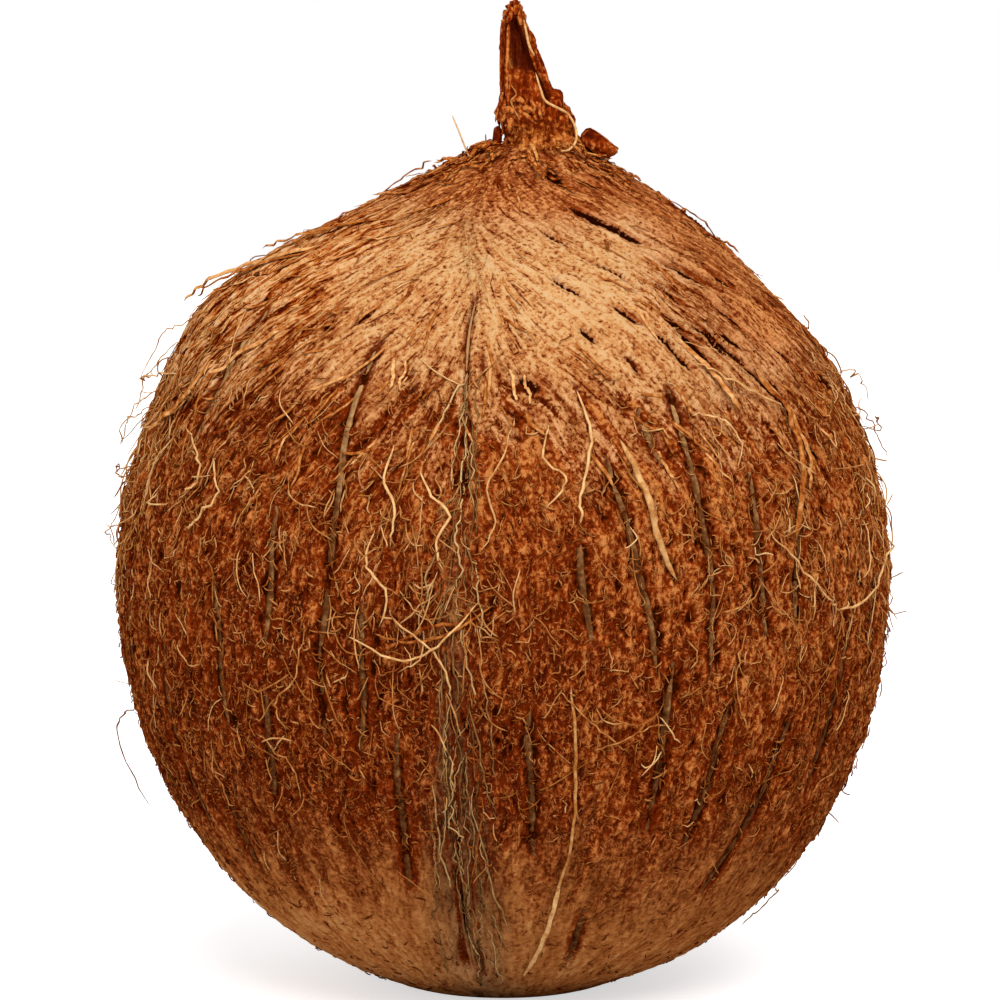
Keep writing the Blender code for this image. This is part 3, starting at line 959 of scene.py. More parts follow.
# The ones that stand out most: half width, shade, then azimuth, height and lift of each stop.
NAMED_STRIPS = [
    (0.75, 0.8, [(-60, 114.8, 0.2), (-71, 112, 0.5), (-82, 108.8, 1.2), (-90, 105.6, 2.6),
                 (-96, 102.8, 3.6)]),
    (0.5, 0.35, [(-62, 114, 0.1), (-72, 110.8, 0.4), (-82, 107.6, 1.2), (-92, 104.4, 1.8)]),
    (0.4, 0.45, [(-60, 118, 0.1), (-70, 116.4, 0.5), (-80, 114.5, 1.0), (-90, 112, 1.4)]),
    (0.45, 0.3, [(-52, 119, 0.1), (-60, 117.6, 0.5), (-70, 115.5, 0.8), (-79, 113.5, 0.5)]),
    (0.7, 0.35, [(47, 98.5, 0.2), (50, 92, 0.9), (49, 85, 1.3), (47, 79, 1.4), (45, 73, 0.8)]),
    (0.5, 0.6, [(49, 97, 0.1), (52, 91, 0.6), (52, 85, 0.8), (50, 80, 0.4)]),
    (0.4, 0.4, [(-86, 121, 0.1), (-84, 123, 0.9), (-78, 124.8, 1.6), (-70, 126, 2.0)]),
    (0.4, 0.3, [(88, 122, 0.2), (90, 120, 0.8), (92, 118, 0.9), (94, 116, 0.3)]),
    (0.6, 0.55, [(-57, 99, 0.1), (-61, 94, 0.7), (-66, 90, 1.3), (-71, 87, 1.8)]),
    (0.5, 0.65, [(-44, 103, 0.1), (-50, 99.5, 0.8), (-56, 96, 1.2)]),
    (0.55, 0.65, [(33, 103, 0.1), (37, 97, 0.7), (39, 92, 0.9)]),
    (0.3, 0.9, [(-18.6, 100, 0.1), (-18.4, 98.4, 0.5), (-18.0, 97.0, 0.7), (-18.2, 95.6, 0.5)]),
    (0.22, 0.85, [(-16.6, 99.8, 0.1), (-16.4, 98.2, 0.5), (-16.8, 96.8, 0.8), (-16.2, 95.2, 0.6)]),
    (0.28, 0.9, [(1.2, 98.8, 0.1), (1.8, 97.2, 0.5), (1.8, 95.8, 0.7), (2.4, 94.2, 0.5)]),
    (0.22, 0.8, [(3.6, 98.2, 0.1), (3.8, 96.6, 0.5), (4.4, 95.4, 0.8), (4.2, 93.6, 0.6)]),
    (0.26, 0.12, [(-19, 58, 0.3), (-15, 59.5, 0.9), (-10, 62.3, 1.2), (-5, 63, 0.6)]),
    (0.2, 0.3, [(-18, 61, 0.4), (-13, 60.0, 1.2), (-7, 61.5, 1.1), (-1, 65.5, 0.4)]),
]


def wandering(azimuth, along, heading, length, kinks, points, draw):
    """Paths over the nut from given starts. A heading of 0 runs straight down.

    Each bends steadily to one side, and a little more or less at each step, and here and
    there by a sharp kink. kinks scales all of it. Returns azimuths and distances along the
    meridian.
    """
    shape = (len(azimuth), points)
    step = length / (points - 1)
    turns = draw.normal(0, 0.12, shape)
    sharp = draw.normal(0, 1.0, shape)
    turns = turns + sharp * (draw.random(shape) < 0.13)
    turns = turns + draw.normal(0, 0.08, (len(azimuth), 1))
    turns[:, 0] = 0
    headings = heading[:, None] + np.cumsum(turns * kinks[:, None], axis=1)
    down = np.cumsum(step[:, None] * np.cos(headings), axis=1) - step[:, None]
    aside = np.cumsum(step[:, None] * np.sin(headings), axis=1)
    path_along = np.clip(along[:, None] - down, 2, MERIDIAN - 2)
    return azimuth[:, None] + aside / np.maximum(radius_at(path_along), 6), path_along


def through(stops, points):
    """A smooth path of so many points through stops.

    Catmull and Rom's cubic: its slope at a stop is half the way from the one before to the
    one after.
    """
    stops = np.array(stops, float)
    padded = np.concatenate([2 * stops[:1] - stops[1:2], stops, 2 * stops[-1:] - stops[-2:-1]])
    place = np.linspace(0, len(stops) - 1, points)
    first = np.minimum(place.astype(int), len(stops) - 2)
    share = (place - first)[:, None]
    before, start, end, after = (padded[first + step] for step in range(4))
    slope_in, slope_out = (end - before) / 2, (after - start) / 2
    return (
        start
        + slope_in * share
        + (3 * (end - start) - 2 * slope_in - slope_out) * share**2
        + (2 * (start - end) + slope_in + slope_out) * share**3
    )


def listed(rows, points):
    """Paths through the stops of listed strands, with their half widths and shades."""
    paths = np.stack([through(stops, points) for _, _, stops in rows])
    width, shade = (np.array([row[which] for row in rows])[:, None] for which in (0, 1))
    return paths, width * tapered(points, 4), shade


def named(name, rows, points, sides, flatness, kinks):
    """Strands whose stops are listed, over the coat's relief.

    Each point is moved at random, by kinks in millimetres, and each width by a fifth.
    """
    draw = np.random.default_rng(len(rows))
    paths, width, shade = listed(rows, points)
    paths += kinks * draw.normal(0, 1, paths.shape) * [1.0, 1.0, 0.5]
    path = np.radians(paths[..., 0]), along_at(np.minimum(paths[..., 1], CROWN_HEIGHT))
    lift = coat(*path)["relief"] + paths[..., 2]
    width = width * draw.uniform(0.8, 1.2, width.shape)
    shade = shade + 0.12 * np.sin(np.arange(points) * 1.7)
    return laid(name, path, lift, width, flatness, sides, shade)


def skin_strips():
    """Splinters at random over the crown, most of them where the skin is torn in layers."""
    draw = np.random.default_rng(61)
    tries = STRIP_COUNT * 6
    height = draw.uniform(86, 128, tries)
    azimuth = draw.uniform(-math.pi, math.pi, tries)
    along = along_at(height)
    rough = 0.35 + 0.65 * smooth_step(0.3, -0.6, np.sin(azimuth) * np.cos(azimuth / 2))
    wanted = rough * radius_at(along) / GIRTH_RADIUS
    kept = np.flatnonzero(draw.random(tries) < wanted)[:STRIP_COUNT]
    azimuth, along = azimuth[kept], along[kept]
    count = len(kept)
    length = draw.gamma(5.0, 1.3, count) + 2.5
    heading = fan_heading(azimuth, along) + draw.normal(0, 0.14, count)
    path = wandering(azimuth, along, heading, length, np.full(count, 0.3), STRIP_POINTS, draw)
    looks = coat(*path)
    share = np.linspace(0, 1, STRIP_POINTS)
    free_end = draw.random((count, 1)) ** 2 * 1.2
    lift = looks["relief"] + 0.05 + free_end * share**2 - 0.5 * (1 - share) ** 4
    width = draw.uniform(0.12, 0.33, (count, 1)) * tapered(STRIP_POINTS, 3)
    shade = np.clip(draw.normal(0.42, 0.2, (count, 1)) - 0.25 * (1 - share) ** 3, 0, 1)
    return laid("skin_strips", path, lift, width, 0.35, STRIP_SIDES, shade)


strip_material = coir_fibre(
    "torn_coir_skin", "#6b2406", "#b0672c", "#e5ad70", roughness=0.85, mottled=1.5
)
scattered_strips = skin_strips()
peeled_strips = named("peeled_strips", NAMED_STRIPS, points=16, sides=6, flatness=0.3, kinks=0.05)
for piece in (scattered_strips, peeled_strips):
    piece.data.materials.append(strip_material)
    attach(piece, "root")


# ------------------------------------------------------------------ short curls of coir
# Torn ends of coir that stand out of the crumbled pith: a quarter of a millimetre thick and a
# millimetre or two long, each bent its own way. They are rooted in the coat, thickest where
# the skin is gone, and red-brown like the pith.
CURL_POINTS = 5
CURL_SIDES = 3
CURLS_PER_THIRD = 4900


def scattered(count, draw):
    """Places spread evenly over the nut's side: heights along the meridian go by radius."""
    share = np.cumsum(RADIUS)
    along = np.interp(draw.uniform(0, share[-1], count), share, ALONG)
    return draw.uniform(-math.pi, math.pi, count), along


def curls(name, seam, seed):
    """The curls between one seam and the next."""
    draw = np.random.default_rng(seed)
    azimuth, along = scattered(CURLS_PER_THIRD * 4, draw)
    azimuth = seam + (azimuth + math.pi) / 3
    looks = coat(azimuth, along)
    crumbled = (1 - looks["skin"]) * (1 - 0.88 * looks["worn"])
    wanted = (0.06 + 0.94 * crumbled) * (1 - 0.9 * looks["grey"]) * (along > 20)
    kept = np.flatnonzero(draw.random(len(azimuth)) < wanted)[:CURLS_PER_THIRD]
    azimuth, along = azimuth[kept], along[kept]
    count = len(kept)
    length = (draw.gamma(3.0, 0.52, count) + 0.7) * (1 - 0.35 * looks["worn"][kept])
    heading = draw.normal(0, 0.8, count)
    kinks = draw.uniform(2.0, 5.0, count)
    path = wandering(azimuth, along, heading, length, kinks, CURL_POINTS, draw)
    share = np.linspace(0, 1, CURL_POINTS)
    bend = draw.uniform(1.5, 3.1, (count, 1))
    arch = draw.uniform(0.05, 0.4, (count, 1)) * np.sin(share * bend)
    lift = looks["relief"][kept, None] + arch - 0.05
    width = draw.uniform(0.07, 0.15, (count, 1))
    shade = draw.beta(2.4, 2.6, (count, 1)) + 0.1 * share - 0.2 * looks["worn"][kept, None]
    shade = shade - 0.16 * smooth_step(64, 38, height_at(along))[:, None]
    return laid(name, path, lift, width, 1.0, CURL_SIDES, shade)


curl_material = coir_fibre(
    "torn_coir", "#561d06", "#914a19", "#c2864c", roughness=0.8, mottled=1.2
)
for turn, name in enumerate(("curls_right", "curls_back", "curls_left")):
    piece = curls(name, SEAM_AZIMUTHS[turn], 40 + turn)
    piece.data.materials.append(curl_material)
    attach(piece, "root")


# ------------------------------------------------------------------ loose fibres
# Single coir fibres, 0.15 to 0.5 mm thick and up to two centimetres long, a few longer, that
# came half free and dried to straw. They hang down over the girth with kinks where they were
# bent, closest in a few patches; a few stand clear of the nut.
FIBRE_COUNT = 1400
FIBRE_POINTS = 11
FIBRE_SIDES = 4
# The patches at the front: azimuth in degrees, height, how far each reaches round, in degrees,
# and up, and how close the fibres are there.
FRONT_PATCHES = [
    (-15, 78, 7, 9, 4.0), (-8, 66, 8, 7, 3.5), (12, 84, 9, 7, 1.0), (27, 66, 9, 12, 0.9),
    (46, 74, 9, 12, 1.6), (38, 94, 9, 5, 1.0), (-38, 84, 10, 9, 1.3), (-24, 56, 10, 8, 1.0),
    (62, 68, 10, 14, 1.3), (12, 50, 8, 10, 0.8), (-72, 82, 14, 16, 2.0), (-68, 94, 12, 7, 1.8),
    (-40, 42, 14, 12, 0.5), (-4, 38, 5, 14, 0.7), (80, 84, 12, 12, 1.8),
]


def fibre_density(azimuth, height):
    """How many loose fibres start at a place: a thin scatter, and bell-shaped patches."""
    draw = np.random.default_rng(71)
    patches = list(FRONT_PATCHES)
    for centre in np.arange(100, 262, 17):
        patches.append((centre, draw.uniform(56, 92), 9, 11, draw.uniform(0.6, 2.2)))
    total = 0.11 * smooth_step(12, 40, height) * smooth_step(118, 96, height)
    for centre, middle, half_turn, half_rise, closeness in patches:
        away = (np.remainder(np.degrees(azimuth) - centre + 180, 360) - 180) / half_turn
        total = total + closeness * np.exp(-(away**2) - ((height - middle) / half_rise) ** 2)
    return total


def loose_fibres():
    """Fibres that start by the density, and mostly hang downwards."""
    draw = np.random.default_rng(72)
    azimuth, along = scattered(FIBRE_COUNT * 16, draw)
    wanted = fibre_density(azimuth, height_at(along)) / 3
    kept = np.flatnonzero(draw.random(len(azimuth)) < wanted)[:FIBRE_COUNT]
    azimuth, along = azimuth[kept], along[kept]
    count = len(kept)
    length = draw.gamma(2.3, 1.7, count) + 1.3
    sideways = draw.random(count) < 0.2
    heading = draw.normal(0, 0.35, count) + sideways * draw.normal(0, 1.2, count)
    kinks = draw.uniform(0.4, 1.3, count)
    path = wandering(azimuth, along, heading, length, kinks, FIBRE_POINTS, draw)
    relief = coat(*path)["relief"]
    ground = (relief + np.roll(relief, 1, axis=1) + np.roll(relief, -1, axis=1)) / 3
    ground[:, 0], ground[:, -1] = relief[:, 0] - 0.2, relief[:, -1]
    share = np.linspace(0, 1, FIBRE_POINTS)
    arch = draw.random((count, 1)) ** 2 * np.sin(math.pi * share)
    arch = arch * np.minimum(length, 9)[:, None] / 7
    stray = (draw.random((count, 1)) < 0.15) * draw.uniform(0.8, 3.2, (count, 1)) * share**2
    lift = np.minimum(ground + 0.22 * smooth_step(0, 0.15, share) + arch + stray, 3.4)
    width = draw.uniform(0.07, 0.14, (count, 1)) * tapered(FIBRE_POINTS, 6)
    low = smooth_step(72, 30, height_at(along))[:, None]
    shade = np.clip(draw.normal(0.45, 0.22, (count, 1)) - 0.2 * low, 0.1, 1) + 0.1 * share
    return laid("loose_fibres", path, lift, width, 1.0, FIBRE_SIDES, shade)


# The long ones, from where each is rooted: half width, shade, then azimuth, height and lift.
NAMED_FIBRES = [
    (0.52, 0.68, [(17.5, 89, 0.2), (20, 83, 0.8), (21, 79, 0.9), (22, 74, 0.9), (24.5, 68.5, 0.6)]),
    (0.25, 0.5, [(9.5, 54, 0.2), (10.4, 46, 0.7), (11, 36, 0.8), (10.6, 27, 0.7), (9, 18, 0.5)]),
    (0.36, 0.8, [(10, 24, 0.3), (9.4, 19, 0.8), (8.2, 12.5, 0.8), (6, 6, 0.4)]),
    (0.22, 0.85, [(12, 96, 0.3), (13, 89, 0.9), (11, 81, 1.1), (11, 77, 0.5)]),
    (0.17, 0.8, [(-22, 60.5, 0.5), (-14, 57.5, 1.2), (-9, 59.5, 1.3), (-3, 66, 0.6)]),
    (0.17, 0.75, [(-17, 64, 0.5), (-12, 61, 1.3), (-8, 57, 1.3), (-7, 52, 0.6)]),
    (0.22, 0.8, [(82, 71, 0.6), (72, 67.5, 1.2), (62, 63, 1.2), (55, 62, 0.5)]),
    (0.18, 0.75, [(40, 75, 0.4), (46, 69, 1.0), (51, 64.5, 1.0), (56, 61.5, 0.5)]),
    (0.19, 0.9, [(-16, 88, 0.3), (-17, 83, 0.9), (-15, 79, 1.0), (-16, 73, 0.5)]),
    (0.2, 0.92, [(-12, 84.5, 0.3), (-10, 81, 1.0), (-7, 78, 1.4), (-9, 74.5, 1.2), (-8, 70, 0.4)]),
    (0.18, 0.85, [(-18, 76, 0.3), (-19, 71, 1.0), (-16, 67, 1.2), (-17, 62, 0.4)]),
    (0.15, 0.7, [(2, 92, 0.3), (0, 86, 1.1), (-2, 82, 1.3), (-1, 77, 0.8), (-3, 73, 0.4)]),
    (0.17, 0.8, [(7, 91, 0.3), (6, 86, 1.2), (9, 83, 1.2), (6, 79, 0.5)]),
    (0.13, 0.4, [(8, 53, 0.3), (12, 49, 1.2), (16, 45.5, 1.0), (19, 43, 0.3)]),
    (0.12, 0.45, [(13, 44, 0.4), (17, 45.5, 1.2), (21, 47.5, 1.1), (25, 47, 0.3)]),
    (0.13, 0.45, [(36, 61, 0.3), (34, 55, 1.1), (35, 50, 1.2), (38, 45, 0.4)]),
    (0.2, 0.85, [(-48, 85, 0.3), (-45, 80, 1.2), (-48, 76, 1.3), (-52, 74, 0.6)]),
    (0.2, 0.8, [(-58, 89, 0.3), (-52, 86, 1.2), (-50, 82, 1.2), (-54, 78, 0.5)]),
    (0.13, 0.45, [(-39, 45, 0.3), (-35, 43, 1.2), (-32, 40, 1.1), (-33, 35, 0.3)]),
    (0.14, 0.5, [(-29, 59, 0.3), (-30, 54, 1.1), (-34, 50, 1.2), (-33, 46, 0.3)]),
    (0.16, 0.2, [(-80, 43.8, 0.3), (-86, 43, 2.2), (-90, 41.4, 4.8), (-91, 39.8, 5.4), (-90, 36, 5.2),
                 (-90, 32, 5.1), (-89, 28.6, 4.7)]),
    (0.14, 0.7, [(-76, 104, 0.3), (-84, 101, 1.6), (-92, 98.5, 3.4), (-94, 95, 4.6), (-92, 92, 4.4)]),
    (0.13, 0.6, [(-74, 92, 0.3), (-84, 89, 1.8), (-92, 86, 3.6), (-94, 82.5, 3.8)]),
    (0.13, 0.5, [(-80, 80, 0.4), (-88, 79, 2.2), (-94, 80, 3.2), (-97, 78.5, 3.2)]),
    (0.12, 0.6, [(-82, 72, 0.3), (-90, 71, 2.4), (-95, 69, 3.0), (-96, 66.5, 2.4)]),
    (0.13, 0.6, [(78, 96, 0.4), (86, 95, 2.4), (92, 93, 3.6), (94, 89.5, 3.8)]),
    (0.13, 0.25, [(80, 88, 0.4), (87, 86, 2.6), (92, 87.4, 3.6), (96, 86, 3.4)]),
    (0.16, 0.8, [(-84, 100, 0.3), (-88, 96, 2.0), (-92, 92, 3.3), (-95, 88, 3.4)]),
    (0.16, 0.8, [(-78, 98, 0.4), (-84, 92, 1.8), (-87, 88, 3.0), (-92, 83, 3.4)]),
    (0.15, 0.85, [(-70, 96, 0.4), (-80, 95, 1.9), (-89, 93, 3.1), (-97, 94, 3.3)]),
    (0.15, 0.35, [(83, 91, 0.4), (89, 88, 2.2), (93, 85, 2.8), (92, 81, 3.2)]),
    (0.15, 0.6, [(70, 17, 0.3), (84, 15, 1.4), (91, 12, 2.2), (92, 10, 2.6)]),
    (0.17, 0.75, [(50, 92, 0.4), (44, 94, 1.2), (38, 97, 1.3), (34, 99, 0.4)]),
    (0.16, 0.8, [(30, 92, 0.4), (34, 91, 1.3), (37, 88, 1.3), (36, 84, 0.4)]),
]

fibre_material = coir_fibre(
    "straw_coir", "#6c300c", "#aa6a32", "#e2b478", roughness=0.65, mottled=0.9
)
fine_fibres = loose_fibres()
long_fibres = named("long_fibres", NAMED_FIBRES, points=20, sides=6, flatness=0.7, kinks=0.1)
for piece in (fine_fibres, long_fibres):
    piece.data.materials.append(fibre_material)
    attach(piece, "root")


# ------------------------------------------------------------------ the collar of husk
# What is left of the husk round the foot of the tuft: a short crumbled stump that spreads into
# the crown, with splinters that point down and out. It is one tissue with the coat, torn all
# round.
STUMP_ROWS = 70
STUMP_COLUMNS = 150
# Height, middle from left to right, and half width, up the stump.
STUMP_PROFILE = np.array([
    (121.0, 4.2, 15.5), (123.6, 4.4, 14.2), (125.4, 4.6, 11.4), (126.6, 6.0, 8.7),
    (128.2, 7.0, 7.2), (129.7, 6.9, 6.1), (130.9, 6.6, 5.5), (132.2, 5.6, 5.5), (133.2, 5.3, 5.0),
    (134.0, 4.9, 4.0),
])
STUMP_DEPTH = 0.9
SPLINTER_COUNT = 230
SPLINTER_POINTS = 8
SPLINTER_SIDES = 6


def torn_husk(name, dark, middle, light):
    """Torn husk: hard fibre with crumbs of pith, matt, with painted shade, nearly black, in its folds.
    """
    made, add = new_material(name)
    where = add("TexCoord", {}, "Object")
    hollow = add("Attribute", {}, "Fac", attribute_name="hollow")
    shade = add("Attribute", {}, "Fac", attribute_name="shade")
    # Upright streaks 0.5 mm wide and 4 mm long: the husk's fibres stand along the tuft.
    upright = add("Mapping", {"Vector": where, "Scale": (1 / 0.5, 1 / 0.5, 1 / 4.0)})
    streaks, crumbs = (
        add("TexNoise", {"Vector": vector, "Scale": 1 / size, "Detail": 3.0, "Roughness": 0.6})
        for vector, size in ((upright, MM), (where, 0.7 * MM))
    )
    fine = add("Mix", {0: 0.5, 2: streaks, 3: crumbs})
    lit = add("Math", (fine, 4.2, -2.05), operation="MULTIPLY_ADD")
    lit = add("Math", (lit, shade), operation="ADD", use_clamp=True)
    colour = add("ValToRGB", {"Fac": lit})
    paint_stops(colour, [0.5], (dark, middle, light))
    # Painted shade: where hollow is high, in folds and gaps, the husk is painted nearly black.
    colour = add("Mix", {0: hollow, 6: colour, 7: paint("#471204")}, 2, data_type="RGBA")
    matt_surface(made, colour, fine, depth=0.5, strength=0.9, roughness=0.9)
    return made


def oval(profile, rows, columns, roundness, depth):
    """A grid on an upright body whose section is a flattened oval.

    The profile gives each height's middle and half width. Going round from the back, x is
    sin^roundness of the turn, and y its cosine times depth. Returns azimuth, middle, half
    width, and the grid's points.
    """
    turn = math.pi + np.arange(columns) * 2 * math.pi / columns
    height = np.linspace(profile[0, 0], profile[-1, 0], rows)
    azimuth, height = np.meshgrid(turn, height)
    middle = np.interp(height, profile[:, 0], profile[:, 1])
    half = np.interp(height, profile[:, 0], profile[:, 2])
    across = np.sign(np.sin(azimuth)) * np.abs(np.sin(azimuth)) ** roundness
    grid = np.stack([middle + half * across, -half * depth * np.cos(azimuth), height], axis=-1)
    return azimuth, middle, half, grid


def torn_piece(name, grid, ends, hollow, shade):
    """A piece of torn husk: a grid closed by two end points, with what its material reads."""
    points = np.concatenate([ends[:1], grid.reshape(-1, 3), ends[1:]])
    piece = mesh_of(name, points, *closed_grid(*grid.shape[:2]))
    give(piece, "hollow", closed(np.clip(hollow, 0, 1).ravel()))
    give(piece, "shade", closed(np.clip(shade, 0, 1).ravel()))
    return piece


def stump():
    """The stump: its profile carried round, ragged along the fibres, crumbled, and torn on top."""
    azimuth, _, _, place = oval(STUMP_PROFILE, STUMP_ROWS, STUMP_COLUMNS, 1.0, STUMP_DEPTH)
    x, y, height = np.moveaxis(place, -1, 0)
    folds = noise(place / [1.6, 1.6, 6.0], 1.0, 81)
    crumbs = np.abs(noise(place, 1.5, 82)) - 0.3
    small = np.abs(noise(place, 0.8, 83)) - 0.3
    out = 0.4 * folds + 0.6 * crumbs + 0.45 * small
    z = height + 0.4 * crumbs + 0.3 * folds + 0.7 * smooth_step(6.0, 2.0, x)
    x = x + out * np.sin(azimuth)
    y = y - out * np.cos(azimuth)
    # Painted shadow: a dark ring at the top of the stump under the tuft's right half; painted shade
    # where the surface sinks in.
    shadow_under_tuft = smooth_step(133.0, 133.8, height) * smooth_step(2.0, 6.0, x)
    hollow = smooth_step(-0.25, -0.7, out) + shadow_under_tuft
    # The shade rises with the relief, so what stands out is painted lighter, as a painted highlight;
    # it is paler towards the crown and painted darker near the top, as the tuft's shadow.
    shade = 0.42 + 0.7 * out + 0.25 * smooth_step(129, 125, height)
    shade = shade - 0.6 * smooth_step(131.2, 133.2, height)
    ends = [(4.4, 0, 121.5), (4.8, 0, 134.4)]
    return torn_piece("husk_stump", np.stack([x, y, z], axis=-1), ends, hollow, shade)


def splinters():
    """Splinters round the stump, rooted near the top of the crown and free at their ends."""
    draw = np.random.default_rng(84)
    azimuth = draw.uniform(-math.pi, math.pi, SPLINTER_COUNT)
    along = MERIDIAN - 4 - draw.gamma(2.0, 4.0, SPLINTER_COUNT)
    length = draw.uniform(2.0, 6.5, SPLINTER_COUNT)
    heading = fan_heading(azimuth, along) + draw.normal(0, 0.35, SPLINTER_COUNT)
    kinks = np.full(SPLINTER_COUNT, 0.5)
    path = wandering(azimuth, along, heading, length, kinks, SPLINTER_POINTS, draw)
    share = np.linspace(0, 1, SPLINTER_POINTS)
    free = draw.random((SPLINTER_COUNT, 1)) ** 1.5 * 1.1
    over_stump = 0.9 * smooth_step(12, 5, radius_at(path[1]))
    lift = coat(*path)["relief"] + over_stump + 0.15 + free * share
    width = draw.uniform(0.15, 0.45, (SPLINTER_COUNT, 1)) * tapered(SPLINTER_POINTS, 2.5)
    shade = np.clip(draw.normal(0.3, 0.2, (SPLINTER_COUNT, 1)) + 0.2 * share, 0, 1)
    piece = laid("husk_splinters", path, lift, width, 0.45, SPLINTER_SIDES, shade)
    give(piece, "hollow", np.zeros(len(piece.data.vertices)))
    return piece


crumbly_husk = torn_husk("crumbled_husk", "#5a1b04", "#a9561e", "#d6934f")
husk_material = torn_husk("torn_husk", "#571503", "#8b3409", "#cd7d3c")
for piece in (stump(), splinters()):
    piece.data.materials.append(crumbly_husk)
    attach(piece, "root")


# ------------------------------------------------------------------ the tuft of husk
# The strip of husk that the seller leaves standing over the three eyes: a folded blade, hollow
# near the top of its front, with an upright left edge and a sloping right one. It was torn to
# shape, so its edges fray and a skirt of splinters hangs round its foot.
TUFT_ROWS = 170
TUFT_COLUMNS = 150
TUFT_DEPTH = 0.6
# Height, left edge and right edge, up the tuft.
TUFT_EDGES = np.array([
    (127.0, 0.6, 9.2), (132.4, 0.2, 9.6), (133.5, -0.2, 10.4), (136.0, -0.3, 9.4),
    (138.5, -0.3, 8.0), (141.0, -0.4, 6.9), (143.5, -0.4, 5.9), (146.0, -0.4, 4.9),
    (148.0, -0.3, 4.2), (150.0, 0.0, 3.4), (151.0, 0.4, 3.0), (151.7, 1.1, 2.5),
])
TUFT_TIP = (2.0, 0.0, 152.0)
SKIRT_COUNT = 70
SKIRT_AT_RIGHT = 14  # of them, crowded on the right
SKIRT_POINTS = 8


def tuft_edges(height):
    """Where the tuft's left and right edges are at a height."""
    return (np.interp(height, TUFT_EDGES[:, 0], TUFT_EDGES[:, side]) for side in (1, 2))


def tuft_front(x, height):
    """How far forward the tuft's front lies at a place across and up it, hollow left out."""
    left, right = tuft_edges(height)
    half = (right - left) / 2
    share = np.clip((x - (left + right) / 2) / half, -1, 1)
    return -half * TUFT_DEPTH * np.sqrt(1 - share**2)


def tuft():
    """The blade: an oval section between its two edges, with folds, ribs and a hollow front.

    Relief in millimetres: upright folds from drawn-out noise, a groove inside each edge, the
    hollow between them, a slanting crease below it, and crumbs at the tip and the foot.
    """
    middle = (TUFT_EDGES[:, 1] + TUFT_EDGES[:, 2]) / 2
    half = (TUFT_EDGES[:, 2] - TUFT_EDGES[:, 1]) / 2
    profile = np.stack([TUFT_EDGES[:, 0], middle, half], axis=-1)
    azimuth, middle, half, place = oval(profile, TUFT_ROWS, TUFT_COLUMNS, 0.9, TUFT_DEPTH)
    x, y, height = np.moveaxis(place, -1, 0)
    front = smooth_step(0.1, 0.5, np.cos(azimuth))
    from_left = x - (middle - half)
    from_right = (middle + half) - x
    sideways = 0.35 * noise(place / [3.0, 3.0, 5.0], 1.0, 91)
    inside = smooth_step(0.9, 1.5, from_left + sideways) * smooth_step(0.8, 1.6, from_right)
    tall = smooth_step(140.3, 142.3, height + sideways) * smooth_step(149.6, 148.2, height)
    recess = front * inside * tall
    left_groove = front * bell(from_left - 0.75 + sideways, 0.28)
    left_groove = left_groove * smooth_step(135, 137, height) * smooth_step(150, 148, height)
    right_groove = front * bell(from_right - 1.4 + sideways, 0.3)
    right_groove = right_groove * smooth_step(134, 136, height) * smooth_step(150, 147, height)
    slanting = x - (5.0 + (141.3 - height) * 0.46)
    slant = front * bell(slanting + sideways, 0.3) * smooth_step(142, 140, height)
    slant = slant * smooth_step(134.5, 136, height)
    folds = noise(place / [0.9, 1.2, 9.0], 1.0, 92)
    fine = noise(place / [0.45, 0.6, 4.0], 1.0, 93)
    crumbs = np.abs(noise(place, 1.1, 94)) - 0.3
    loose = smooth_step(147.5, 149.5, height) + smooth_step(137.5, 134.5, height)
    out = 0.35 * folds + 0.18 * fine + (0.25 + 0.9 * loose) * crumbs
    out = out - 1.25 * recess - 0.5 * left_groove - 0.45 * right_groove - 0.45 * slant
    x = x + out * np.sin(azimuth)
    y = y - out * np.cos(azimuth)
    z = np.minimum(height + 0.5 * loose * crumbs, TUFT_TIP[2])
    # Painted shade: the hollow front, the grooves, the crease and the folds' low places are painted
    # dark, with a painted shadow under the foot on the right.
    hollow = 0.95 * recess + 0.8 * left_groove + 0.8 * right_groove + 0.8 * slant
    under = smooth_step(134.6, 133.4, height + 0.8 * folds) * smooth_step(2.0, 4.0, x)
    hollow = hollow + smooth_step(0.0, -0.5, folds) * 0.35 + under
    plate = front * smooth_step(141, 139, height) * smooth_step(134, 137, height)
    # The shade goes with the folds, grain and crumbs that shape the relief, so what stands out is
    # painted lighter, as a painted highlight.
    shade = 0.30 + 0.35 * folds + 0.3 * fine + 0.9 * loose * crumbs - 0.08 * plate
    shade = shade + 0.12 * loose
    ends = [(4.9, 0, 126.5), TUFT_TIP]
    return torn_piece("husk_tuft", np.stack([x, y, z], axis=-1), ends, hollow, shade)


